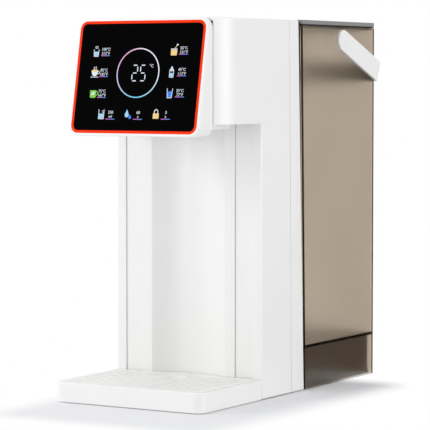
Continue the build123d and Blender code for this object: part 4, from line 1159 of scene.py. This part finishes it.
@dataclass
class Works(CadAssembly):
    """Pump, heater, hoses and electronics inside the casing, from the CAD."""

    pump: tuple[str, ...] = ("pump_volute", "pump_cover", "pump_saddle")
    hoses: tuple[str, ...] = ("inlet_hose", "feed_hose", "outlet_hose")

    def dress(self) -> None:
        """Give the inner pieces their finishes."""
        dress_nodes(
            {
                PUMP_NYLON: self.pump,
                ROTOR_POM: ("pump_impeller",),
                STEEL: ("pump_motor", "heater_tube", "heating_element", "heater_clamps", "board_screws"),
                NATURAL_PP: ("heater_caps",),
                SILICONE: self.hoses,
                ZINC: ("chassis",),
                BOARD: ("main_board",),
                BLACK_EPOXY: ("board_relays", "board_transformer", "level_sensor", "thermal_cutouts"),
                ALUMINIUM: ("board_capacitors", "heat_sink"),
                CABLE_PVC: ("head_cable",),
            }
        )


@dataclass(frozen=True)
class PaperFloor(Finish):
    """White studio paper: it shows white to the eye and still takes the object's shadow close by."""

    white: float
    paper: Triple
    centre_m: Point
    footprint_m: Point
    fade_m: float
    fibre_mm: float = 1.5
    fibre_shade: float = 0.98

    def shade(self, tree: bpy.types.NodeTree) -> None:
        """Mix lit paper with plain white, and let the white win away from the object's footprint."""
        place = add_node(tree, "ShaderNodeTexCoord").outputs["Object"]
        shifted = add_node(
            tree, "ShaderNodeVectorMath", {0: place, 1: (*self.centre_m, 0.0)}, operation="SUBTRACT"
        ).outputs["Vector"]
        folded = add_node(tree, "ShaderNodeVectorMath", {0: shifted}, operation="ABSOLUTE").outputs["Vector"]
        past = add_node(
            tree, "ShaderNodeVectorMath", {0: folded, 1: (*self.footprint_m, 0.0)}, operation="SUBTRACT"
        ).outputs["Vector"]
        outside = add_node(
            tree, "ShaderNodeVectorMath", {0: past, 1: (0.0, 0.0, 0.0)}, operation="MAXIMUM"
        ).outputs["Vector"]
        reach = add_node(tree, "ShaderNodeVectorMath", {0: outside}, operation="LENGTH").outputs["Value"]
        away = add_node(
            tree, "ShaderNodeMapRange",
            {"Value": reach, "From Min": 0.0, "From Max": self.fade_m, "To Min": self.white, "To Max": 1.0},
            interpolation_type="SMOOTHSTEP",
        ).outputs["Result"]
        rays = add_node(tree, "ShaderNodeLightPath").outputs
        passing = add_node(
            tree, "ShaderNodeMath",
            {0: rays["Is Glossy Ray"], 1: rays["Is Transmission Ray"]},
            operation="MAXIMUM",
        ).outputs["Value"]
        seen = add_node(
            tree, "ShaderNodeMath", {0: rays["Is Camera Ray"], 1: passing}, operation="MAXIMUM"
        ).outputs["Value"]
        share = add_node(tree, "ShaderNodeMath", {0: away, 1: seen}, operation="MULTIPLY").outputs["Value"]
        fibre = add_node(
            tree, "ShaderNodeTexNoise", {"Vector": place, "Scale": per_metre(self.fibre_mm), "Detail": 3.0}
        ).outputs["Fac"]
        tone = add_node(
            tree, "ShaderNodeMix",
            {0: fibre, 6: (*self.paper, 1.0), 7: (*(self.fibre_shade * part for part in self.paper), 1.0)},
            data_type="RGBA",
        ).outputs[2]
        lit = add_node(tree, "ShaderNodeBsdfDiffuse", {"Color": tone}).outputs["BSDF"]
        plain = add_node(
            tree, "ShaderNodeEmission", {"Color": WHITE, "Strength": 1.0}
        ).outputs["Emission"]
        both = add_node(tree, "ShaderNodeMixShader", {0: share, 1: lit, 2: plain}).outputs["Shader"]
        add_node(tree, "ShaderNodeOutputMaterial", {"Surface": both})


# Paper under the object: the zone that keeps its shadow lies to the right of it, away from the light.
PAPER = PaperFloor(
    "white_studio_paper",
    white=0.05,
    paper=(0.81, 0.815, 0.84),
    centre_m=(0.025, -0.0725),
    footprint_m=(0.075, 0.1375),
    fade_m=0.045,
)


@dataclass(frozen=True)
class Softbox:
    """A square lamp: its place and the length of its sides in metres, and its power in watts."""

    name: str
    at: Triple
    size_m: float
    power_w: float


@dataclass
class Studio:
    """Floor, flag, surround, lamps and the camera at the photograph's angle."""

    floor_half_m: float = 6.0
    ambient: float = 0.7
    flag_at: Point = (0.25, 0.38)
    flag_size: float = 0.6
    flag_foot: float = 0.29
    flag_lift: float = 0.0005
    camera_at: Triple = (0.984853, -1.632931, 0.260154)
    camera_pitch: float = 0.060163
    camera_yaw: float = 0.546499
    lens_mm: float = 189.79
    sensor_mm: float = 36.0
    aim_at: Triple = (0.0, 0.0, 0.15)
    lamps: tuple[Softbox, ...] = (
        Softbox("left_softbox", (-2.05, -1.45, 0.95), size_m=1.0, power_w=19.0),
        Softbox("right_softbox", (2.1, 0.3, 0.4), size_m=1.2, power_w=16.0),
        Softbox("overhead_softbox", (-0.3, -0.2, 2.2), size_m=1.6, power_w=9.0),
        Softbox("low_fill", (-0.3, -2.4, 0.12), size_m=0.7, power_w=9.0),
    )

    def build(self) -> None:
        """Set up floor, flag, surround, lamps and camera."""
        self.floor()
        self.flag()
        self.surround()
        for box in self.lamps:
            self.lamp(box)
        self.camera()

    def floor(self) -> None:
        """Lay the paper floor."""
        half = self.floor_half_m
        mesh = bpy.data.meshes.new("paper_floor")
        corners = [(-half, -half, 0), (half, -half, 0), (half, half, 0), (-half, half, 0)]
        mesh.from_pydata(corners, [], [(0, 1, 2, 3)])
        mesh.materials.append(PAPER.material())
        floor = bpy.data.objects.new("paper_floor", mesh)
        bpy.context.scene.collection.objects.link(floor)

    def flag(self) -> None:
        """Stand a black card with a foot beside the object, for gloss only: the tank's side mirrors it."""
        half = self.flag_size / 2
        near, low, high = -self.flag_foot, self.flag_lift, self.flag_size
        mesh = bpy.data.meshes.new("black_flag")
        foot = [(-half, near, low), (half, near, low), (half, 0, low), (-half, 0, low)]
        mesh.from_pydata([*foot, (half, 0, high), (-half, 0, high)], [], [(0, 1, 2, 3), (3, 2, 4, 5)])
        mesh.materials.append(BLACK_RUBBER.material())
        card = bpy.data.objects.new("black_flag", mesh)
        card.location = (*self.flag_at, 0.0)
        card.rotation_euler = (0.0, 0.0, math.atan2(self.flag_at[1], self.flag_at[0]) - math.pi / 2)
        card.visible_camera = False
        card.visible_diffuse = False
        card.visible_transmission = False
        card.visible_shadow = False
        bpy.context.scene.collection.objects.link(card)

    def surround(self) -> None:
        """Make the world white to the eye and softer as a light."""
        world = bpy.data.worlds.new("white_surround")
        bpy.context.scene.world = world
        world.use_nodes = True
        tree = world.node_tree
        tree.nodes.clear()
        rays = add_node(tree, "ShaderNodeLightPath").outputs
        passing = add_node(
            tree, "ShaderNodeMath",
            {0: rays["Is Glossy Ray"], 1: rays["Is Transmission Ray"]},
            operation="MAXIMUM",
        ).outputs["Value"]
        seen = add_node(
            tree, "ShaderNodeMath", {0: rays["Is Camera Ray"], 1: passing}, operation="MAXIMUM"
        ).outputs["Value"]
        level = add_node(
            tree, "ShaderNodeMapRange", {"Value": seen, "To Min": self.ambient, "To Max": 1.0}
        ).outputs["Result"]
        sky = add_node(tree, "ShaderNodeBackground", {"Color": WHITE, "Strength": level})
        add_node(tree, "ShaderNodeOutputWorld", {"Surface": sky.outputs["Background"]})

    def lamp(self, box: Softbox) -> None:
        """Hang one softbox that faces the object's middle.

        Args:
            box: The lamp's place, size and power.
        """
        light = bpy.data.lights.new(box.name, "AREA")
        light.size = box.size_m
        light.energy = box.power_w
        holder = bpy.data.objects.new(box.name, light)
        holder.location = box.at
        aim = Vector(self.aim_at) - Vector(box.at)
        holder.rotation_euler = aim.to_track_quat("-Z", "Y").to_euler()
        bpy.context.scene.collection.objects.link(holder)

    def camera(self) -> None:
        """Stand the camera where the photograph was taken from."""
        optics = bpy.data.cameras.new("photo_camera")
        optics.lens = self.lens_mm
        optics.sensor_width = self.sensor_mm
        holder = bpy.data.objects.new("photo_camera", optics)
        holder.location = self.camera_at
        holder.rotation_euler = (math.pi / 2 - self.camera_pitch, 0.0, self.camera_yaw)
        bpy.context.scene.collection.objects.link(holder)
        bpy.context.scene.camera = holder


def clear_start_objects() -> None:
    """Remove what a new Blender file starts with, so that only the frame is left."""
    kept = {*frame["bodies"].values(), *frame["nodes"].values()}
    for thing in list(bpy.data.objects):
        if thing not in kept:
            bpy.data.objects.remove(thing)


def main() -> None:
    """Dress the frame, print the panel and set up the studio."""
    logging.basicConfig(level=logging.INFO, format="%(message)s")
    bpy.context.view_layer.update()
    clear_start_objects()
    bpy.context.scene.view_settings.view_transform = "Standard"
    for assembly in (Casing(), TouchPanel(), DripTray(), WaterTank(), Works()):
        pieces = assembly.build()
        assembly.dress()
        LOG.info("%s: %d new pieces", type(assembly).__name__, len(pieces))
    Studio().build()


if __name__ == "__main__":
    main()
